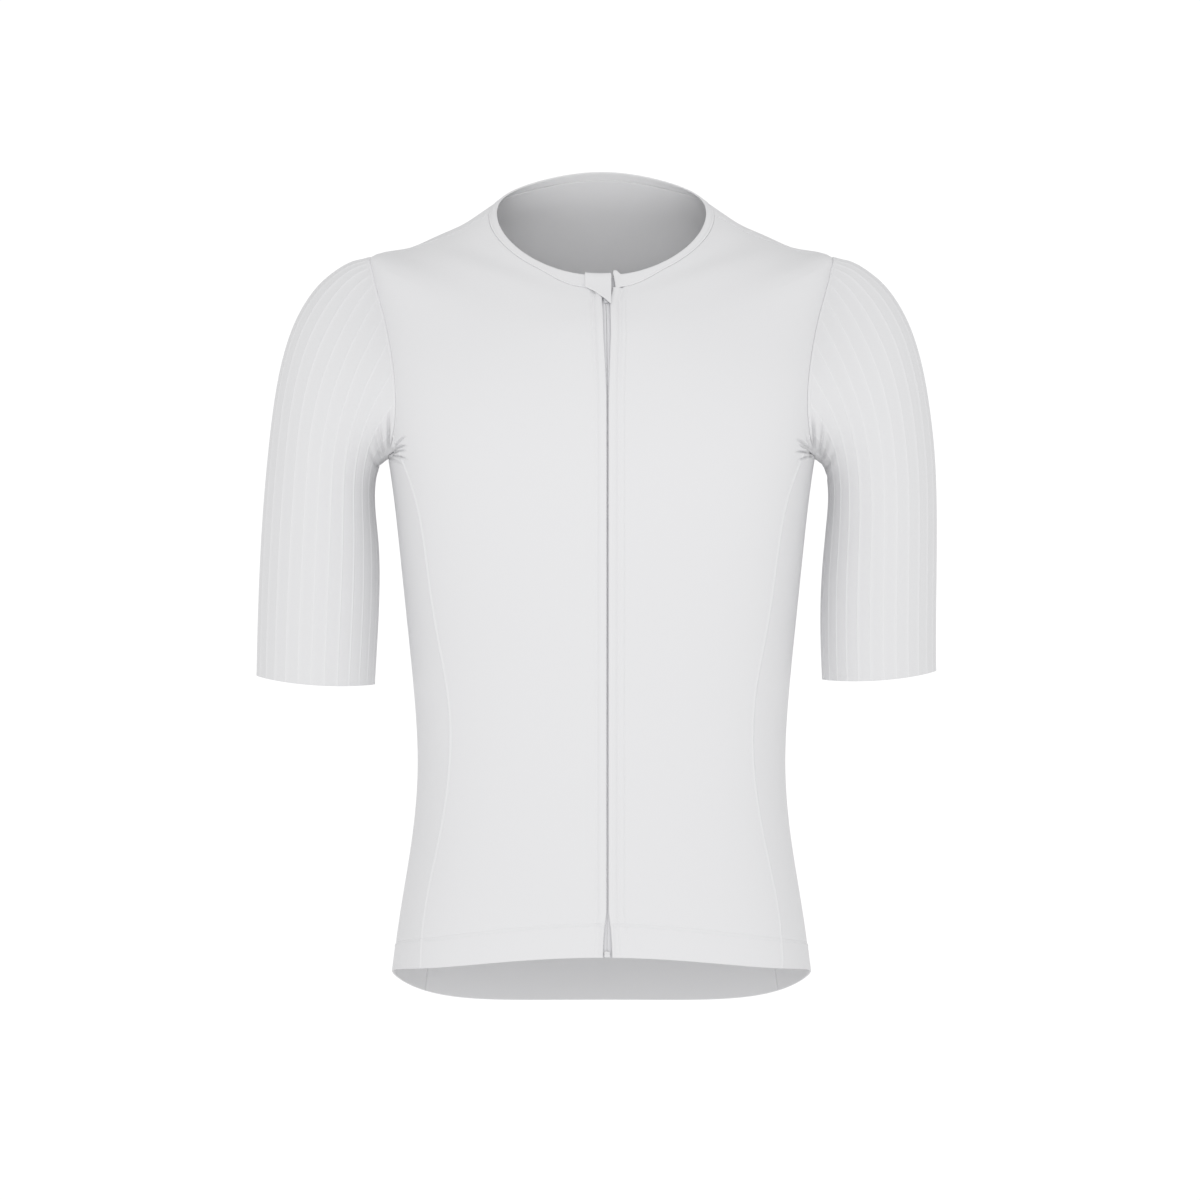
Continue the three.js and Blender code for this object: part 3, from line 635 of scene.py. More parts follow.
def loft(name, sections, painted_highlights=0):
    """A closed solid through sections of equal size, each a loop of points, capped at both ends.

    Its share of painted highlight is given for each of the section's points.
    """
    sections = np.asarray(sections)
    count, size = sections.shape[:2]
    index = wrapped(np.arange(count * size).reshape(count, size))
    ends = [sections[0].mean(0), sections[-1].mean(0)]
    first, last = count * size, count * size + 1
    caps = []
    for i in range(size):
        caps.append([first, index[0, i + 1], index[0, i]])
        caps.append([last, index[-1, i], index[-1, i + 1]])
    along = lengths_along(sections)
    across = lengths_along(sections.swapaxes(0, 1)).T
    place = np.stack([across, along, painted_highlights + 0 * along], axis=-1).reshape(-1, 3)
    places = np.concatenate([place, np.zeros((2, 3))])
    points = np.concatenate([sections.reshape(-1, 3), ends])
    return new_object(name, points, [grid_quads(index), np.array(caps)], places)


# Rows and columns
def steps_from(*spans, first=ROLL_STEPS):
    """Growing lengths from an edge: the first ones as given, then spans of (end, step)."""
    steps = list(first)
    for end, step in spans:
        count = max(1, round((end - steps[-1]) / step))
        steps += list(np.linspace(steps[-1], end, count + 1)[1:])
    return np.array(steps)


def places_along(total, first, last, count):
    """Lengths over a total: the given steps in from each end, and even ones between them."""
    even = np.linspace(0, 1, count + 2)[1:-1]
    middle = lerp(first[-1], total - last[-1], even)
    return np.concatenate([first, middle, (total - last)[::-1]])


def spread_row(start, end, ring_at, first, last, count):
    """Angles and rings of a row between two angles, spaced by true length."""
    angle = np.linspace(start, end, 161)
    length = lengths_along(torso_point(angle, ring_at(angle)))
    angle = np.interp(places_along(length[-1], first, last, count), length, angle)
    return angle, ring_at(angle)


def hem_depth(angle):
    """The depth of the turned-up hem, which is least at the sides."""
    return HEM_SIDE_DEPTH + (HEM_FRONT_DEPTH - HEM_SIDE_DEPTH) * np.cos(angle) ** 2


def hem_ring(angle, step):
    """The ring at a step up from the hem. Steps are scaled so that the turned hem ends at HEM_DEPTH."""
    return ring_above_hem(angle, step * hem_depth(angle) / HEM_DEPTH)


HEM_STEPS = steps_from((2, 0.7), (3.4, 0.7), (6, 0.65), (22, 3.2), (27, 0.45), (29, 1), (35, 3))
ZIP_STEPS = steps_from((2.1, 0.45), (5.7, 0.9), (7.8, 0.3), (11.6, 0.95), (13.6, 0.4), (16, 1.2))
SEAM_STEPS = steps_from((2.2, 0.36), (18, 0.62), (32, 1.4))
NECK_STEPS = steps_from((2, 0.6), (8, 1.5))
UNDERARM_STEPS = steps_from((24, 0.6), (40, 2), first=(0,))
FINE_SAMPLES = 400
SIDE_LENGTH = 390
SHOULDER_LENGTH = 105
EDGE_ROUNDS = 4

# Counts of the even columns, and of the even rows below, beside and above the armhole.
FRONT_COUNTS = (36, 50, 26, 18)
BACK_COUNTS = (30, 40, 24, 18)


def lower_shares(count):
    """Shares up a panel's lower part, with finer rows towards the underarm."""
    return places_along(SIDE_LENGTH, np.array([0]), UNDERARM_STEPS, count)[1:] / SIDE_LENGTH


def rows_to_armhole(counts):
    return len(HEM_STEPS) + len(lower_shares(counts[1]))


def armhole_turns(side, count):
    """Turns from the side seam's top up to the shoulder seam, with finer rows at the underarm."""
    turn = np.linspace(SEAM_TOP_TURN, 0, FINE_SAMPLES)
    length = lengths_along(torso_point(*armhole(side * turn)))
    places = places_along(length[-1], UNDERARM_STEPS, ROLL_STEPS, count)[1:]
    return np.interp(places, length, turn)


def half_body(side, start_at, first, counts):
    """Angles and rings of a front or back, from its inner edge to the side seam, armhole and shoulder.

    side is 1 for the front and -1 for the back.
    """
    face = "front" if side > 0 else "back"
    columns, lower_count, armhole_count, shoulder_count = counts
    rows = []

    def add_row(ring_at, end_at):
        start, end = 0.0 if side > 0 else math.pi, math.pi / 2
        for _ in range(EDGE_ROUNDS):
            start, end = float(start_at(ring_at(start))), float(end_at(ring_at(end)))
        rows.append(spread_row(start, end, ring_at, first, SEAM_STEPS, columns))

    def side_seam(ring):
        seam = seam_angle(face, ring)
        return seam - side * angle_of(SEAM_GAP / 2, seam, ring)

    for step in HEM_STEPS:
        add_row(lambda angle, step=step: hem_ring(angle, step), side_seam)
    for share in lower_shares(lower_count):
        low = HEM_STEPS[-1]
        add_row(lambda angle, s=share: lerp(hem_ring(angle, low), SEAM_TOP_RING, s), side_seam)
    for turn in armhole_turns(side, armhole_count):
        hole_angle, hole_ring = armhole(side * turn)
        gap = SEAM_GAP / 2 * (1 - smooth_step(0, 0.05, turn))
        end = hole_angle - side * angle_of(gap, hole_angle, hole_ring)
        add_row(lambda angle, ring=hole_ring: ring + 0 * angle, lambda ring, end=end: end)
    shoulder_end = math.pi / 2 - side * angle_of(SEAM_GAP / 2, math.pi / 2, NECK_RING)
    top_steps = places_along(SHOULDER_LENGTH, np.array([0]), NECK_STEPS, shoulder_count)[1:]
    for share in top_steps / SHOULDER_LENGTH:
        neck_edge = lambda angle: ring_below_neck(angle, BINDING_WIDTH + SEAM_GAP + binding_growth(angle))
        add_row(lambda angle, s=share: lerp(SHOULDER_RING, neck_edge(angle), s), lambda ring: shoulder_end)
    return (np.array(part) for part in zip(*rows))


def zip_edge(direction, ring):
    """The angle of a front's zip edge: direction is 1 for the wearer's left."""
    return front_angle(zip_gap(ring) + direction * (zip_middle(ring) + ZIP_LAP), ring)


def torso_cloth(angle, ring):
    return Cloth(torso_point(angle, ring), normals_of(torso_point, angle, ring))


def hem_lift(cloth, angle):
    """The hem is turned up inside and stitched: it stands out a little, over a soft ditch."""
    step = cloth.up * HEM_DEPTH / hem_depth(angle)
    band = HEM_LIFT * (1 - smooth_step(HEM_DEPTH - 0.5, HEM_DEPTH + 0.4, step))
    return band - 0.2 * bump(step - HEM_DEPTH - 0.8, 0.7)


def seam_welt(distance):
    """A seam's raised edge with a soft ditch beside it."""
    raised = SEAM_WELT_LIFT * (1 - smooth_step(SEAM_WELT_WIDTH - 0.5, SEAM_WELT_WIDTH + 0.3, distance))
    return raised - 0.14 * bump(distance - SEAM_WELT_WIDTH - 0.9, 0.6)


def zip_welt(cloth, angle, side):
    """The turned zip edge: a raised welt down to the hem band, where a narrow edge stands by a trough."""
    from_zip = cloth.across
    step = cloth.up * HEM_DEPTH / hem_depth(angle)
    hem = 1 - smooth_step(HEM_DEPTH - 0.6, HEM_DEPTH + 0.9, step)
    width = lerp(WELT_WIDTH, WELT_FOOT_WIDTH, hem)
    raised = WELT_LIFT * (1 - smooth_step(width - 1.5, width + 0.9, from_zip))
    crown = WELT_CROWN * (1 - hem) * bump(from_zip - 3.0, 1.9)
    by_neck = smooth_step(*DITCH_HEIGHTS, cloth.points[..., 2])
    depth, reach = lerp(*DITCH_DEPTHS, by_neck), lerp(*DITCH_WIDTHS, by_neck)
    ditch = depth * bump(from_zip - width - 1.2, reach) * (1 - hem)
    trough = FOOT_TROUGH * hem * bump(from_zip - FOOT_TROUGH_X, 1.8) * smooth_step(0, 5, step)
    turned = ZIP_IMPRINT[side]
    imprint = 0.1 * (1 - smooth_step(turned - 0.5, turned + 0.6, from_zip))
    stitched = 0.1 * bump(from_zip - turned, 0.5)
    drawn = 0.07 * np.sin(cloth.up * 0.43 + 1.9 * np.sin(cloth.up * 0.071)) * bump(from_zip - 10, 3.4)
    return raised + crown - ditch - trough + imprint - stitched + drawn


# Panels
def front_cloth(side):
    direction = 1 if side == "left" else -1
    armhole_row = rows_to_armhole(FRONT_COUNTS)
    angle, ring = half_body(1, lambda at: zip_edge(direction, at), ZIP_STEPS, FRONT_COUNTS)
    cloth = torso_cloth(angle, ring)
    points = cloth.points
    cloth.to_edge(points[0])
    cloth.to_edge(points[-1], sewn=1)
    cloth.to_edge(points[:, 0])
    to_side = cloth.to_edge(points[:armhole_row, -1], sewn=1)
    cloth.to_edge(points[armhole_row - 1 :, -1], sewn=1)
    lift = zip_welt(cloth, angle, side) + hem_lift(cloth, angle) + seam_welt(to_side)
    # Painted highlight: the seam's raised welt is coloured lighter than the cloth.
    cloth.mark = SEAM_PAINTED_HIGHLIGHT * (1 - smooth_step(SEAM_WELT_WIDTH - 0.5, SEAM_WELT_WIDTH, to_side))
    crease = crease_lift(points, side)
    outer, inner = faces_of(cloth, lift + crease, crease - CLOTH)
    return finish_side(cloth, outer, inner, side)


def finish_side(cloth, outer, inner, side):
    """A side's cloth and faces. The right one was made on the left."""
    if side == "left":
        return cloth, outer, inner
    return cloth.mirrored(), outer[:, ::-1] * MIRROR, inner[:, ::-1] * MIRROR


def back_cloth():
    armhole_row = rows_to_armhole(BACK_COUNTS)
    angle, ring = half_body(-1, lambda at: math.pi, np.array([0, 1.3]), BACK_COUNTS)
    angle, ring = angle[:, ::-1], ring[:, ::-1]
    half = torso_cloth(angle, ring)
    points = half.points
    half.to_edge(points[0])
    half.to_edge(points[-1], sewn=1)
    to_side = half.to_edge(points[:armhole_row, 0], sewn=1)
    half.to_edge(points[armhole_row - 1 :, 0], sewn=1)
    to_shoulder, _ = to_line(points, points[-(len(NECK_STEPS) + BACK_COUNTS[3]) :, 0])
    lift = hem_lift(half, angle) + seam_welt(to_side) + 0.4 * seam_welt(to_shoulder)
    # Painted highlight: the seam's raised welt is coloured lighter than the cloth.
    half.mark = SEAM_PAINTED_HIGHLIGHT * (1 - smooth_step(SEAM_WELT_WIDTH - 0.5, SEAM_WELT_WIDTH, to_side))
    faces = {}
    for side in ("left", "right"):
        crease = crease_lift(points, side)
        faces[side] = faces_of(half, lift + crease, crease - CLOTH)
    other = half.mirrored()
    join = lambda left, right: np.concatenate([left, right[:, 1:]], axis=1)
    whole = Cloth(join(half.points, other.points), join(half.normals, other.normals))
    for name in ("edge", "sewn", "mark"):
        setattr(whole, name, join(getattr(half, name), getattr(other, name)))
    outer, inner = (join(faces["left"][n], faces["right"][n][:, ::-1] * MIRROR) for n in (0, 1))
    return whole, outer, inner


SIDE_WIDTH = 190
SIDE_COLUMNS = 30
SIDE_ROWS = 56
SIDE_GAP_TURN = 0.002


def side_places():
    """Angles and rings of the side panel, from the hem to the foot of the armhole."""
    steps = steps_from((22, 0.75))
    column = places_along(SIDE_WIDTH, steps, steps, SIDE_COLUMNS) / SIDE_WIDTH
    first_turn = SEAM_TOP_TURN + SIDE_GAP_TURN
    turn = lerp(first_turn, 2 * math.pi - SEAM_TOP_TURN - SIDE_GAP_TURN, column)
    top_angle, top_ring = armhole(turn)
    bottom = lerp(seam_angle("front", 0), seam_angle("back", 0), column)
    hem = [hem_ring(bottom, step) / top_ring for step in HEM_STEPS]
    shares = np.array(hem + [lerp(hem[-1], 1, share) for share in lower_shares(SIDE_ROWS)])
    ring = shares * top_ring
    front = seam_angle("front", shares * SEAM_TOP_RING)
    back = seam_angle("back", shares * back_seam_top_ring)
    gap = angle_of(SEAM_GAP / 2, front, ring)
    plain = lerp(front + gap, back - gap, column)
    top_gap = angle_of(SEAM_GAP / 2, front_top_angle, SEAM_TOP_RING)
    plain_top = lerp(front_top_angle + top_gap, back_top_angle - top_gap, column)
    return plain + (top_angle - plain_top) * smooth_step(0.55, 1, shares), ring


def side_cloth(side):
    angle, ring = side_places()
    cloth = torso_cloth(angle, ring)
    cloth.to_edge(cloth.points[0])
    for line in (cloth.points[-1], cloth.points[:, 0], cloth.points[:, -1]):
        cloth.to_edge(line, sewn=1)
    crease = crease_lift(cloth.points, side)
    lift = hem_lift(cloth, angle)
    outer, inner = faces_of(cloth, lift + crease, crease - CLOTH)
    return finish_side(cloth, outer, inner, side)


POCKET_LENGTH = 160
POCKET_ROWS = 30
POCKET_COLUMNS = 170
POCKET_BOTTOM_STEPS = steps_from((4, 0.65), (6, 1))
POCKET_TOP_STEPS = steps_from((3, 0.75), (13.2, 1.7), (16.4, 0.45))


def pocket_cloth():
    """Three pockets side by side, sewn low on the back, and standing a little off it at the top."""
    rows = []
    places = places_along(POCKET_LENGTH, POCKET_BOTTOM_STEPS, POCKET_TOP_STEPS, POCKET_ROWS)
    for share in places / POCKET_LENGTH:
        ring = lerp(POCKET_BOTTOM_RING, POCKET_TOP_RING, share)
        seam = seam_angle("back", ring)
        start = float(seam + angle_of(SEAM_GAP / 2, seam, ring))
        row = (start, 2 * math.pi - start, lambda a, r=ring: r + 0 * a)
        rows.append(spread_row(*row, ROLL_STEPS, ROLL_STEPS, POCKET_COLUMNS))
    angle, ring = (np.array(part) for part in zip(*rows))
    cloth = torso_cloth(angle, ring)
    total = cloth.across[:, -1:]
    up, from_top = cloth.up, cloth.up[-1] - cloth.up
    to_side = np.minimum(cloth.across, total - cloth.across)
    cloth.edge = np.minimum(np.minimum(up, from_top), to_side)
    share = cloth.across / total * POCKET_COUNT
    raised = smooth_step(0, 1, up / cloth.up[-1])
    gape = POCKET_GAPE * raised * np.abs(np.sin(math.pi * share))
    divider = np.abs(share - np.round(share)) * total / POCKET_COUNT
    divided = (np.round(share) > 0) & (np.round(share) < POCKET_COUNT)
    sewn = np.where(divided, 0.3 * bump(divider - 1.1, 0.5) - 0.12 * bump(divider, 0.8), 0)
    band = 0.3 * (1 - smooth_step(POCKET_BAND - 0.5, POCKET_BAND + 0.4, from_top))
    groove = 0.2 * bump(from_top - POCKET_BAND - 0.9, 0.6)
    turned = 0.25 * (1 - smooth_step(3.4, 4.1, up)) - 0.12 * bump(up - 4.7, 0.5)
    sag = 0.5 * raised * np.sin(math.pi * share) ** 2 * np.sin(up * 0.11 + 1.3 * np.floor(share))
    face = LAYER_GAP + gape + seam_welt(to_side) + 0.05
    soft = 0.25 * sag * (from_top > POCKET_BAND) - 0.4 * np.maximum(sewn, 0)
    return cloth, *faces_of(cloth, face + CLOTH + band - groove + turned + soft, face)


ARMHOLE_WELT_WIDTH = 1.8
ARMHOLE_WELT_LIFT = 0.4
UNDERARM_COSINE = -0.3
SLEEVE_FIRST = steps_from((2.6, 0.37), (20, 1), (26, 2))
SLEEVE_LAST = steps_from((3.4, 0.65), (6, 1.3))
SLEEVE_ROWS = 54
SLEEVE_GIRTH = 450
RIB_PLACES = (-1.5, -1, -0.6, -0.3, 0, 0.3, 0.6, 1, 1.5)
RIB_COLUMNS_BETWEEN = 3
CREASED_COLUMNS_BETWEEN = 12


def rib_columns():
    """Turns of a sleeve's columns: close together over each rib, and between ribs where it is creased."""
    near = np.array(RIB_PLACES) * RIB_HALF_WIDTH / (SLEEVE_GIRTH / (2 * math.pi))
    turns = []
    for rib in np.arange(0, 2 * math.pi, RIB_TURN):
        creased = math.cos(rib) < UNDERARM_COSINE
        between = CREASED_COLUMNS_BETWEEN if creased else RIB_COLUMNS_BETWEEN
        gap = np.linspace(near[-1], RIB_TURN + near[0], between + 2)[1:-1]
        turns.append(rib + np.concatenate([near, gap]))
    return np.concatenate(turns)


def sleeve_cloth(side):
    turn = rib_columns()
    sample = np.linspace(0, CUFF_RING, FINE_SAMPLES)[:, None]
    length = lengths_along(sleeve_point(side, drifted_turn(turn, sample), sample + 0 * turn))
    ring = np.empty((len(SLEEVE_FIRST) + len(SLEEVE_LAST) + SLEEVE_ROWS, len(turn)))
    for column in range(len(turn)):
        places = places_along(length[-1, column], SLEEVE_FIRST, SLEEVE_LAST, SLEEVE_ROWS)
        ring[:, column] = np.interp(places, length[:, column], sample[:, 0])
    turns = drifted_turn(turn, ring)
    points = sleeve_point(side, turns, ring)
    cloth = Cloth(points, sleeve_normals(side, turns, ring))
    from_armhole = cloth.to_edge(np.concatenate([points[0], points[0, :1]]), sewn=1)
    to_cuff = cloth.up[-1] - cloth.up
    cloth.edge = np.minimum(cloth.edge, to_cuff)
    cloth.sewn *= from_armhole < to_cuff
    step = 1e-3
    beside = sleeve_point(side, drifted_turn(turn + step, ring), ring) - points
    speed = np.linalg.norm(np.cross(beside, unit(np.gradient(points, axis=0))), axis=-1) / step
    off_rib = (np.mod(turn + RIB_TURN / 2, RIB_TURN) - RIB_TURN / 2) * speed
    past_welt = smooth_step(ARMHOLE_WELT_WIDTH + 0.2, ARMHOLE_WELT_WIDTH + 1.2, from_armhole)
    rib = bump(off_rib, RIB_HALF_WIDTH) * past_welt
    fine_rib = bump(off_rib - 2.4, 0.4) * past_welt
    welted = 1 - smooth_step(ARMHOLE_WELT_WIDTH - 0.5, ARMHOLE_WELT_WIDTH + 0.3, from_armhole)
    cuff = 0.12 * (1 - smooth_step(2.0, 2.6, to_cuff))
    # Painted highlight: the ribs, the fine ribs and the armhole's welt are coloured lighter.
    cloth.mark = np.maximum(0.55 * rib, 0.5 * welted) + 0.1 * fine_rib
    crease = crease_lift(cloth.points, side)
    lift = RIB_HEIGHT * rib + 0.08 * fine_rib + ARMHOLE_WELT_LIFT * welted + cuff + crease
    outer, inner = faces_of(cloth, lift, crease - CLOTH)
    return finish_side(cloth, outer, inner, side)


# Folded strips and small parts
def rounded_path(path, times=3):
    """A path with its corners cut again and again, which keeps its ends. The rows run along it."""
    for _ in range(times):
        near, far = lerp(path[:-1], path[1:], 0.25), lerp(path[:-1], path[1:], 0.75)
        cut = np.stack([near, far], axis=1).reshape((-1,) + path.shape[1:])
        path = np.concatenate([path[:1], cut[1:-1], path[-1:]])
    return path


def spread_rows(points, count):
    """A grid with its rows spaced along each column by true length."""
    length = lengths_along(points)
    made = []
    for column in range(points.shape[1]):
        places = places_along(length[-1, column], ROLL_STEPS, ROLL_STEPS, count)
        made.append(along_line(places, length[:, column], points[:, column]))
    return np.array(made).swapaxes(0, 1)


def grid_normals(points):
    along_rows = np.gradient(points, axis=0)
    along_columns = np.gradient(points, axis=1)
    return unit(np.cross(along_columns, along_rows))


def strip_cloth(points):
    """A folded strip's middle surface as a cloth, with its four edges rolled."""
    cloth = Cloth(points, grid_normals(points))
    ends = [cloth.up, cloth.up[-1] - cloth.up, cloth.across, cloth.across[:, -1:] - cloth.across]
    cloth.edge = np.min(ends, axis=0)
    return cloth


def strip_faces(cloth, thickness):
    half = np.full(cloth.edge.shape, thickness / 2)
    return faces_of(cloth, half, -half)


def front_point(x, below, lift):
    """A point over the front, at x from the middle and a length below the neck edge."""
    ring = ring_below_neck(front_angle(x, NECK_RING), below)
    return over_torso(front_angle(x, ring), ring, lift)


# The neck binding's middle line over the neck edge, from outside to inside: lengths below the edge
# and heights over the form. The dip is the stitching's groove.
BINDING_PATH = Curves(
    "below lift",
    [
        (7.12, -0.16),
        (6.5, 0.02),
        (5.8, 0.12),
        (5.2, -0.04),
        (4.6, 0.14),
        (3.8, 0.23),
        (2.6, 0.26),
        (1.5, 0.23),
        (0.8, 0.08),
        (0.38, -0.16),
        (0.27, -0.42),
        (0.42, -0.68),
        (0.85, -0.87),
        (1.6, -0.93),
        (4.0, -0.93),
        (6.9, -0.93),
    ],
)
BINDING_CLOTH = 0.54
BINDING_STITCH = 5.2
BINDING_SAMPLES = 91
BINDING_COLUMNS = 130
BINDING_ROWS = 34


def binding_angles():
    """The angles of the binding's columns, with finer ones at its turned-up end."""
    start, end = float(zip_edge(1, NECK_RING)), 2 * math.pi - float(zip_edge(-1, NECK_RING))
    angle = np.linspace(start, end, FINE_SAMPLES)
    length = lengths_along(torso_point(angle, NECK_RING + 0 * angle))
    places = places_along(length[-1], steps_from((12, 0.6)), ROLL_STEPS, BINDING_COLUMNS)
    return np.interp(places, length, angle)


def binding_point(angle, below, lift):
    start = float(zip_edge(1, NECK_RING))
    from_end = (angle - start) / angle_of(1, start, NECK_RING)
    rounded = 1 - 0.3 * (1 - smooth_step(0, 1.6, from_end))
    rise = TURN_UP_HEIGHT * rounded * (1 - smooth_step(TURN_UP_WIDTH * 0.4, TURN_UP_WIDTH, from_end))
    risen = below - rise * (1 - smooth_step(0, 5, below))
    outside = smooth_step(-0.6, -0.2, lift)
    risen = risen + binding_growth(angle) * smooth_step(0.5, 4.4, below) * outside
    return over_torso(angle, ring_below_neck(angle, risen), lift)


def binding_cloth():
    angle = binding_angles()
    knot = np.linspace(0, 15, BINDING_SAMPLES)[:, None]
    below, lift = BINDING_PATH("below", knot), BINDING_PATH("lift", knot)
    points = binding_point(angle[None, :] + 0 * knot, below + 0 * angle, lift + 0 * angle)
    cloth = strip_cloth(spread_rows(points, BINDING_ROWS))
    return cloth, *strip_faces(cloth, BINDING_CLOTH)


GARAGE_THICKNESS = 1.0
GARAGE_INSIDE_LIFT = -3.1
GARAGE_INSIDE_LENGTH = 9
GARAGE_ROWS = 44
GARAGE_COLUMNS = 40


def garage_cloth():
    """The flap over the slider: from its slanting lower edge up, over the neck edge and down inside."""
    x_low, x_high = GARAGE_EDGES[0][0], GARAGE_EDGES[-1][0]
    x = x_low + places_along(x_high - x_low, ROLL_STEPS, ROLL_STEPS, GARAGE_COLUMNS)
    rows = np.array(GARAGE_EDGES, float)
    lower, front = np.interp(x, rows[:, 0], rows[:, 1]), np.interp(x, rows[:, 0], rows[:, 2])
    face = front + GARAGE_THICKNESS / 2
    same = np.ones_like(x)
    edge_and_inside = (-1.7 * same, -1.3 * same, 1.25 * same, GARAGE_INSIDE_LENGTH * same)
    below = np.array([lower, lower / 2, same, *edge_and_inside])
    back = GARAGE_INSIDE_LIFT * same
    lift = np.array([face, face, face, 0.35 * same, -1.65 * same, back, back])
    path = rounded_path(np.stack([below, lift], axis=-1))
    points = front_point(x[None, :] + 0 * path[..., 0], path[..., 0], path[..., 1])
    cloth = strip_cloth(spread_rows(points, GARAGE_ROWS))
    return cloth, *strip_faces(cloth, GARAGE_THICKNESS)


# The tape's section, from the zip's middle outwards: x and height over the form. Its inner edge is
# folded into a ridge over the coil.
TAPE_SECTION = [
    (0.12, -1.8),
    (0.2, -1.55),
    (0.5, -1.4),
    (1.1, -1.36),
    (1.8, -1.42),
    (2.3, -1.6),
    (2.9, -1.66),
    (11.8, -1.66),
    (12.0, -1.9),
    (11.8, -2.26),
    (2.9, -2.26),
    (0.5, -2.3),
    (0.2, -2.15),
]
TAPE_TOP_RING = 15.75
TAPE_RINGS = 150
TAPE_RIDGE = 2.4
ZIP_SAMPLES = 3000


def tape_sections(direction):
    ring = np.linspace(0, TAPE_TOP_RING, TAPE_RINGS)[:, None]
    x, lift = np.array(TAPE_SECTION[:: -direction], float).T
    at = front_angle(zip_middle(ring) + direction * x[None, :], ring)
    return over_torso(at, ring + 0 * at, lift[None, :])


def along_zip(x, first, last, step):
    """The rings of places up the zip, a step apart, at x from its middle."""
    ring = np.linspace(first, last, ZIP_SAMPLES)
    length = lengths_along(over_torso(front_angle(zip_middle(ring) + x, ring), ring, 0))
    return np.interp(np.arange(0, length[-1], step), length, ring)


# A rounded bar's stations, as shares of its length and radius, and the quads that close an end.
CAPSULE_SIDES = 6
CAPSULE_STATIONS = [(-0.5, 0.25), (-0.42, 0.8), (-0.25, 1), (0.25, 1), (0.42, 0.8), (0.5, 0.25)]
CAP_QUADS = np.array([(0, 1, 4, 5), (1, 2, 3, 4)])


def add_capsules(name, finish, length, radius, at, frames):
    """Rounded bars at places, each turned by its own frame of three row vectors, as one piece."""
    turns = np.arange(CAPSULE_SIDES) * 2 * math.pi / CAPSULE_SIDES
    share, size = np.array(CAPSULE_STATIONS).T[..., None]
    reach = radius * size
    bar = np.stack([share * length + 0 * turns, reach * np.cos(turns), reach * np.sin(turns)], axis=-1)
    index = np.arange(bar[..., 0].size).reshape(-1, CAPSULE_SIDES)
    caps = [index[0][CAP_QUADS[:, ::-1]], index[-1][CAP_QUADS]]
    faces = np.concatenate([grid_quads(wrapped(index)), *caps])
    points = at[:, None, :] + bar.reshape(-1, 3) @ frames
    copies = faces + (np.arange(len(at)) * index.size)[:, None, None]
    dress(new_object(name, points.reshape(-1, 3), [copies.reshape(-1, 4)]), finish)


def frames_along(direction, normal):
    direction = unit(direction)
    side = unit(np.cross(normal, direction))
    return np.stack([direction, side, np.cross(direction, side)], axis=1)


STITCH_LENGTH = 2.3
STITCH_GAP = 0.9
STITCH_RADIUS = 0.17
STITCH_SUNK = 0.04
STITCH_AIM = 0.5


def stitches_on(points, normals):
    """Places and frames of stitches along a line of points, each lying on the cloth."""
    length = lengths_along(points)
    pitch = STITCH_LENGTH + STITCH_GAP
    places = np.arange(pitch / 2, length[-1] - pitch / 2, pitch)
    at, ahead = (along_line(places + step, length, points) for step in (0, STITCH_AIM))
    normal = unit(along_line(places, length, normals))
    return at + normal * (STITCH_RADIUS - STITCH_SUNK), frames_along(ahead - at, normal)


def add_stitches(name, lines):
    at, frames = (np.concatenate(part) for part in zip(*(stitches_on(*line) for line in lines)))
    add_capsules(name, "thread", STITCH_LENGTH, STITCH_RADIUS, at, frames)


def line_on(lengths, face, normals, at, picked):
    """The line at a length along each picked row of a face, or back from the row's end where negative."""
    at = np.broadcast_to(at, len(face))[picked]
    reach = np.where(at >= 0, at, lengths[picked, -1] + at)
    rows = zip(reach, lengths[picked], face[picked], normals[picked])
    return np.split(np.array([along_line(*row) for row in rows]), 2, axis=1)


def line_across(cloth, outer, at, rows):
    """The line on a cloth's face at a length across from its first column, or from its last."""
    return line_on(cloth.across, outer, cloth.normals, at, rows)


def line_up(cloth, outer, at, columns=slice(None)):
    """The line on a cloth's face at a length up from its first row, or down from its last."""
    return line_on(cloth.up.T, outer.swapaxes(0, 1), cloth.normals.swapaxes(0, 1), at, columns)


# Materials
def material(slot, colour, roughness, build=None, **sockets):
    """A material of one colour, which build may add nodes to. sockets are the shader's own."""
    made = bpy.data.materials.new(slot)
    made.use_nodes = True
    shader = made.node_tree.nodes["Principled BSDF"]
    shader.inputs["Base Color"].default_value = (*colour, 1)
    shader.inputs["Roughness"].default_value = roughness
    for name, value in sockets.items():
        shader.inputs[name.replace("_", " ")].default_value = value
    if build:
        build(made.node_tree, shader, colour)
    return made


def math_node(tree, operation, *inputs):
    node = tree.nodes.new("ShaderNodeMath")
    node.operation = operation
    for socket, value in zip(node.inputs, inputs):
        if isinstance(value, (int, float)):
            socket.default_value = value
        else:
            tree.links.new(value, socket)
    return node.outputs[0]


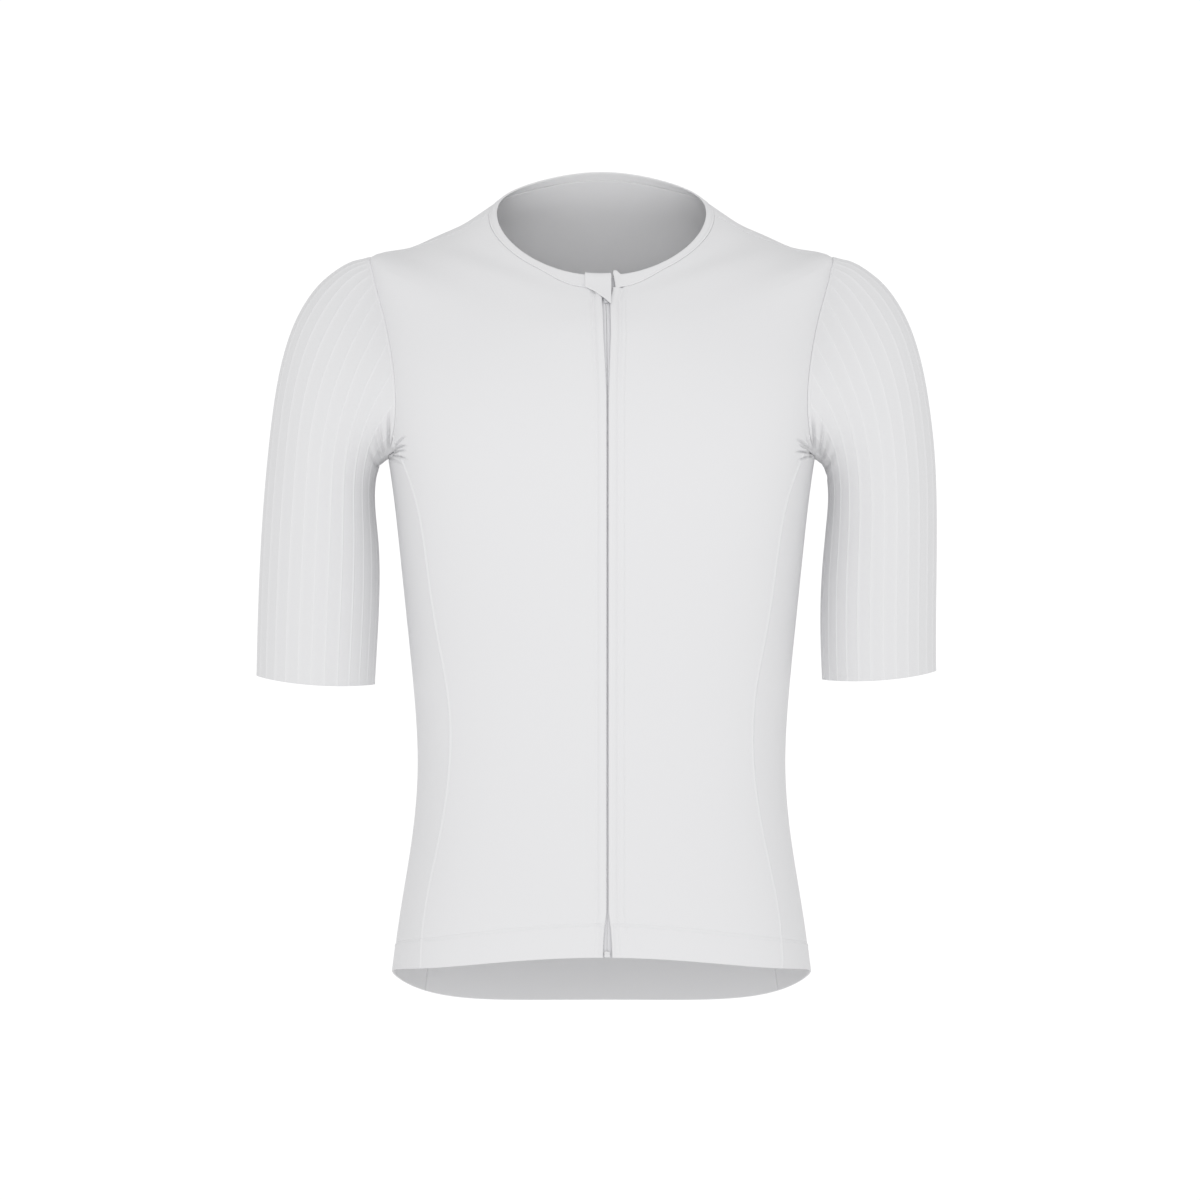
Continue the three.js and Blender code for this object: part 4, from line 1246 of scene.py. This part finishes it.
def knit(across, up, height, mesh_depth=0, painted_highlight_step=0.07):
    """A builder of a fine knit: its stitches by pitch, the height of its loops, and a painted highlight, a
    lighter colour on raised lines set by the third value of the cloth attribute.
    """

    def build(tree, shader, colour):
        held = tree.nodes.new("ShaderNodeAttribute")
        held.attribute_name = "cloth"
        parts = tree.nodes.new("ShaderNodeSeparateXYZ")
        tree.links.new(held.outputs["Vector"], parts.inputs[0])
        u, v, mark = parts.outputs
        wale = math_node(tree, "SINE", math_node(tree, "MULTIPLY", u, 2 * math.pi / across))
        course = math_node(tree, "SINE", math_node(tree, "MULTIPLY", v, 2 * math.pi / up))
        loops = math_node(tree, "ADD", wale, math_node(tree, "MULTIPLY", course, 0.6 + mesh_depth))
        bumped = tree.nodes.new("ShaderNodeBump")
        bumped.inputs["Strength"].default_value = 0.35
        bumped.inputs["Distance"].default_value = height * METRES
        tree.links.new(loops, bumped.inputs["Height"])
        tree.links.new(bumped.outputs[0], shader.inputs["Normal"])
        highlight_mix = tree.nodes.new("ShaderNodeMix")
        highlight_mix.data_type = "RGBA"
        highlight_mix.inputs["A"].default_value = (*colour, 1)
        highlight_mix.inputs["B"].default_value = (*[min(1, c + painted_highlight_step) for c in colour], 1)
        tree.links.new(mark, highlight_mix.inputs["Factor"])
        tree.links.new(highlight_mix.outputs["Result"], shader.inputs["Base Color"])

    return build


SHEEN = dict(Sheen_Weight=0.08, Sheen_Roughness=0.5, Specular_IOR_Level=0.25)
WOVEN = dict(Specular_IOR_Level=0.3)
LACQUER = dict(Metallic=0.1, Coat_Weight=0.3, Coat_Roughness=0.2)
MATERIALS = {
    "smooth_knit": material("smooth_knit", (0.82, 0.82, 0.83), 0.72, knit(0.7, 0.55, 0.05), **SHEEN),
    "side_knit": material("side_knit", (0.81, 0.81, 0.82), 0.76, knit(1.1, 0.9, 0.09, 0.4), **SHEEN),
    "ribbed_knit": material("ribbed_knit", (0.80, 0.80, 0.81), 0.76, knit(0.7, 0.5, 0.05), **SHEEN),
    "binding": material("binding", (0.83, 0.83, 0.84), 0.72, knit(0.6, 0.6, 0.04), **SHEEN),
    # The tape is coloured darker as painted shade of its recess under the fronts. Its ridge takes a painted
    # highlight.
    "zip_tape": material("zip_tape", (0.66, 0.66, 0.68), 0.7, knit(0.9, 0.6, 0.06, painted_highlight_step=0.1), **WOVEN),
    "zip_metal": material("zip_metal", (0.62, 0.62, 0.64), 0.34, **LACQUER),
    "thread": material("thread", (0.84, 0.84, 0.85), 0.6),
    "zip_plastic": material("zip_plastic", (0.76, 0.76, 0.77), 0.42),
}


def dress(piece, finish):
    """A piece takes its finish's material and joins the root body."""
    piece.data.materials.append(MATERIALS[finish])
    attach(piece, "root")


# The cloth pieces
cut = {}


def add_sheet(name, node, slot, made, tube_rows=None):
    """A cloth in place of its node. Its flat size is the cut of what shows, with no turnings."""
    cut[name] = made
    piece = closed_cloth(name, *made, tube_rows)
    dress(piece, slot)
    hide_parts(node)


for side in ("left", "right"):
    add_sheet(f"cloth_front_{side}", f"front_{side}", "smooth_knit", front_cloth(side))
    add_sheet(f"cloth_side_{side}", f"side_panel_{side}", "side_knit", side_cloth(side))
    made = sleeve_cloth(side)
    count = len(made[1])
    kept = [0, 3, *range(5, count - 5, 3), count - 4, count - 1]
    add_sheet(f"cloth_sleeve_{side}", f"sleeve_{side}", "ribbed_knit", made, kept)
add_sheet("cloth_back", "back", "smooth_knit", back_cloth())
add_sheet("cloth_pockets", "pocket_panel", "smooth_knit", pocket_cloth())
add_sheet("cloth_neck_binding", "neck_binding", "binding", binding_cloth())
add_sheet("cloth_zip_garage", "zip_garage", "binding", garage_cloth())


# The zip
def add_part(name, slot, sections, node=None, painted_highlights=0):
    piece = loft(name, sections, painted_highlights)
    dress(piece, slot)
    if node:
        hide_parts(node)
    return piece


TOOTH_LENGTH = 1.7
TOOTH_RADIUS = 0.27
TOOTH_LIFT = -1.52
TEETH_RINGS = (0.09, TAPE_TOP_RING - 0.35)


def teeth(direction):
    """One row of the coil's teeth, over the tape's ridge. The other row's lie between them."""
    x = direction * (0.1 + TOOTH_LENGTH / 2)
    ring = along_zip(x, *TEETH_RINGS, TOOTH_PITCH / 2)[(1 - direction) // 2 :: 2]
    angle = front_angle(zip_middle(ring) + x, ring)
    normal = normals_of(torso_point, angle, ring)
    at = over_torso(angle, ring, TOOTH_LIFT)
    side = np.cross(normal, unit(over_torso(angle, ring + 0.01, 0) - over_torso(angle, ring, 0)))
    return at, frames_along(-side, normal)


for side, direction in (("left", 1), ("right", -1)):
    # Painted highlight on the tape's ridge over the coil.
    ridge_highlight = np.array([x < TAPE_RIDGE for x, _ in TAPE_SECTION[:: -direction]], float)
    tape = add_part(f"tape_{side}", "zip_tape", tape_sections(direction), f"zip_tape_{side}", ridge_highlight)
    add_capsules(f"zip_teeth_{side}", "zip_plastic", TOOTH_LENGTH, TOOTH_RADIUS, *teeth(direction))


def rounded_section(reach, low, high, corner):
    """A rectangle's outline with rounded corners, as x and height."""
    made = []
    corner = min(corner, reach * 0.95, (high - low) * 0.49)
    for x, z, start in ((1, 1, 0), (-1, 1, 1), (-1, -1, 2), (1, -1, 3)):
        centre_x, centre_z = x * (reach - corner), (high - corner if z > 0 else low + corner)
        for turn in (start + np.array([0, 0.25, 0.5, 0.75, 1])) * math.pi / 2:
            made.append((centre_x + corner * math.cos(turn), centre_z + corner * math.sin(turn)))
    return np.array(made)


def zip_block(stations, corner):
    """A rounded block over the zip.

    Each station is a length below the neck edge, a half width, a low and a high.
    """
    sections = []
    for below, reach, low, high in stations:
        x, lift = rounded_section(reach, low, high, corner)[::-1].T
        sections.append(front_point(SLIDER_X + x, below + 0 * x, lift))
    return sections


SLIDER = [
    (15.7, 0.8, -0.6, 0.1),
    (15.9, 1.4, -1.0, 0.5),
    (16.5, 1.95, -1.2, 0.72),
    (17.9, 2.5, -1.2, 0.8),
    (20.2, 2.68, -1.2, 0.8),
    (22.2, 2.6, -1.2, 0.8),
    (24.2, 2.15, -1.2, 0.8),
    (26.0, 1.72, -1.2, 0.74),
    (26.5, 1.45, -1.05, 0.55),
    (26.7, 0.9, -0.7, 0.2),
]
PULL = [
    (13.2, 0.8, 1.3, 1.55),
    (13.4, 1.35, 1.12, 1.72),
    (14.1, 1.8, 1.08, 1.78),
    (15.7, 2.08, 1.08, 1.78),
    (18.7, 1.95, 1.08, 1.78),
    (22.2, 1.6, 1.08, 1.78),
    (24.1, 1.38, 1.08, 1.78),
    (24.6, 1.0, 1.12, 1.72),
    (24.7, 0.6, 1.3, 1.55),
]
BRIDGE = [
    (17.1, 0.4, 0.6, 0.95),
    (17.4, 0.6, 0.6, 1.06),
    (20.5, 0.6, 0.6, 1.06),
    (20.8, 0.4, 0.6, 0.95),
]
add_part("zip_slider_body", "zip_metal", zip_block(SLIDER, 0.55), "zip_slider")
add_part("zip_pull_tab", "zip_metal", zip_block(PULL, 0.3), "zip_pull")
add_part("zip_slider_bridge", "zip_metal", zip_block(BRIDGE, 0.2))

# The box that holds the tapes' ends: steps up from the hem, half width, low and high.
STOP = [
    (5.2, 1.9, -1.0, 0.5),
    (5.05, 2.2, -1.15, 0.78),
    (4.7, 2.3, -1.2, 0.9),
    (3.4, 2.3, -1.2, 0.9),
    (3.2, 2.2, -1.2, 0.76),
    (2.6, 2.2, -1.2, 0.76),
    (2.4, 2.3, -1.2, 0.9),
    (0.9, 2.3, -1.2, 0.9),
    (0.55, 2.2, -1.15, 0.78),
    (0.4, 1.9, -1.0, 0.5),
]
stop_sections = []
for up, reach, low, high in STOP:
    x, lift = rounded_section(reach, low, high, 0.35)[::-1].T
    ring = ring_above_hem(0, up) + 0 * x
    stop_sections.append(over_torso(front_angle(zip_middle(0) + x, ring), ring, lift))
add_part("zip_end_box", "zip_plastic", stop_sections, "zip_stop")


# Sewing: how far each line of stitches is from its edge.
SEAM_STITCH = 0.8
ARMHOLE_STITCH = 0.95
POCKET_TOP_STITCH = POCKET_BAND + 1
POCKET_BOTTOM_STITCH = 2.6
DIVIDER_STITCHES = (-1.1, 1.1)
HEM_ROW = 3


def hem_line(cloth, outer):
    x, y, _ = cloth.points[HEM_ROW].T
    depth = hem_depth(np.arctan2(np.abs(x), -y))
    return line_up(cloth, outer, HEM_STITCH * depth / HEM_DEPTH, slice(2, -2))


for side, direction in (("left", 1), ("right", -1)):
    cloth, outer, _ = cut[f"cloth_front_{side}"]
    side_rows = slice(2, rows_to_armhole(FRONT_COUNTS) - 2)
    lines = [
        line_across(cloth, outer, direction * ZIP_IMPRINT[side], slice(16, -3)),
        line_across(cloth, outer, -direction * SEAM_STITCH, side_rows),
        hem_line(cloth, outer),
    ]
    add_stitches(f"stitching_front_{side}", lines)
    add_stitches(f"stitching_side_{side}", [hem_line(*cut[f"cloth_side_{side}"][:2])])
    line = line_up(*cut[f"cloth_sleeve_{side}"][:2], ARMHOLE_STITCH)
    add_stitches(f"stitching_armhole_{side}", [[np.concatenate([part, part[:1]]) for part in line]])

cloth, outer, _ = cut["cloth_back"]
side_rows = slice(2, rows_to_armhole(BACK_COUNTS) - 2)
shoulder_rows = slice(4 - len(NECK_STEPS) - BACK_COUNTS[3], -2)
lines = [hem_line(cloth, outer)]
for edge in (SEAM_STITCH, -SEAM_STITCH):
    lines += [line_across(cloth, outer, edge, rows) for rows in (side_rows, shoulder_rows)]
add_stitches("stitching_back", lines)

cloth, outer, _ = cut["cloth_neck_binding"]
add_stitches("stitching_neck_binding", [line_up(cloth, outer, BINDING_WIDTH - BINDING_STITCH, slice(6, -4))])

cloth, outer, _ = cut["cloth_pockets"]
lines = [line_up(cloth, outer, at, slice(3, -3)) for at in (-POCKET_TOP_STITCH, POCKET_BOTTOM_STITCH)]
share = cloth.across[-1] / cloth.across[-1, -1] * POCKET_COUNT
for divider in range(1, POCKET_COUNT):
    across = cloth.across[:, np.abs(share - divider).argmin()]
    lines += [line_across(cloth, outer, across + shift, slice(2, -1)) for shift in DIVIDER_STITCHES]
add_stitches("stitching_pockets", lines)


# Camera, light and stage
stage = bpy.context.scene.collection.objects
camera = bpy.data.objects.new("camera", bpy.data.cameras.new("camera"))
camera.location = (-0.001245, -3.0, -0.303)
camera.rotation_euler = (math.pi / 2, 0, 0)
camera.data.sensor_width = 36
camera.data.lens = 108.43
stage.link(camera)
bpy.context.scene.camera = camera

light = bpy.data.objects.new("softbox", bpy.data.lights.new("softbox", "AREA"))
light.data.shape = "DISK"
light.data.size = 2.2
light.data.energy = 22
light.location = (0, -3.3, 0.42)
light.rotation_euler = (math.radians(78), 0, 0)
light.visible_camera = False
stage.link(light)


def smooth_map(tree, value, low, high, at_low, at_high):
    """A value's smooth change between two levels, from one number to another."""
    node = tree.nodes.new("ShaderNodeMapRange")
    node.interpolation_type = "SMOOTHSTEP"
    for number, socket in enumerate(("From Min", "From Max", "To Min", "To Max")):
        node.inputs[socket].default_value = (low, high, at_low, at_high)[number]
    tree.links.new(value, node.inputs["Value"])
    return node.outputs[0]


# The room is brightest behind the jersey, and dimmer overhead and underfoot.
world = bpy.data.worlds.new("studio")
bpy.context.scene.world = world
world.use_nodes = True
sky = world.node_tree
direction = sky.nodes.new("ShaderNodeTexCoord")
split = sky.nodes.new("ShaderNodeSeparateXYZ")
sky.links.new(direction.outputs["Generated"], split.inputs[0])
behind = smooth_map(sky, split.outputs["Y"], 0.55, 0.9, 0.9, 1.06)
overhead = smooth_map(sky, split.outputs["Z"], 0.15, 0.85, 1, 0.66)
underfoot = smooth_map(sky, split.outputs["Z"], -0.75, -0.2, 0.84, 1)
strength = math_node(sky, "MULTIPLY", behind, math_node(sky, "MULTIPLY", overhead, underfoot))
sky.links.new(strength, sky.nodes["Background"].inputs["Strength"])
sky.nodes["Background"].inputs["Color"].default_value = (1, 1, 1, 1)

view = bpy.context.scene.view_settings
view.view_transform = "Standard"
view.look = "None"
view.exposure = 0
view.gamma = 1

# The floor fades into the room.
FLOOR_RADIUS = 3.3
FLOOR_Z = -1.4
FLOOR_SIDES = 64
floor_material = bpy.data.materials.new("floor")
floor_material.use_nodes = True
floor_tree = floor_material.node_tree
floor_shader = floor_tree.nodes["Principled BSDF"]
floor_shader.inputs["Base Color"].default_value = (0.86, 0.86, 0.86, 1)
floor_shader.inputs["Roughness"].default_value = 0.9
place = floor_tree.nodes.new("ShaderNodeTexCoord")
reach = floor_tree.nodes.new("ShaderNodeVectorMath")
reach.operation = "LENGTH"
floor_tree.links.new(place.outputs["Object"], reach.inputs[0])
fade = smooth_map(floor_tree, reach.outputs["Value"], 0.2, 1.5, 0.6, 0)
floor_tree.links.new(fade, floor_shader.inputs["Alpha"])
floor_mesh = bpy.data.meshes.new("floor")
turns = np.linspace(0, 2 * math.pi, FLOOR_SIDES, endpoint=False)
rim = [(FLOOR_RADIUS * math.cos(turn), FLOOR_RADIUS * math.sin(turn), FLOOR_Z) for turn in turns]
floor_mesh.from_pydata(rim, [], [list(range(FLOOR_SIDES))])
floor_mesh.materials.append(floor_material)
floor = bpy.data.objects.new("floor", floor_mesh)
stage.link(floor)
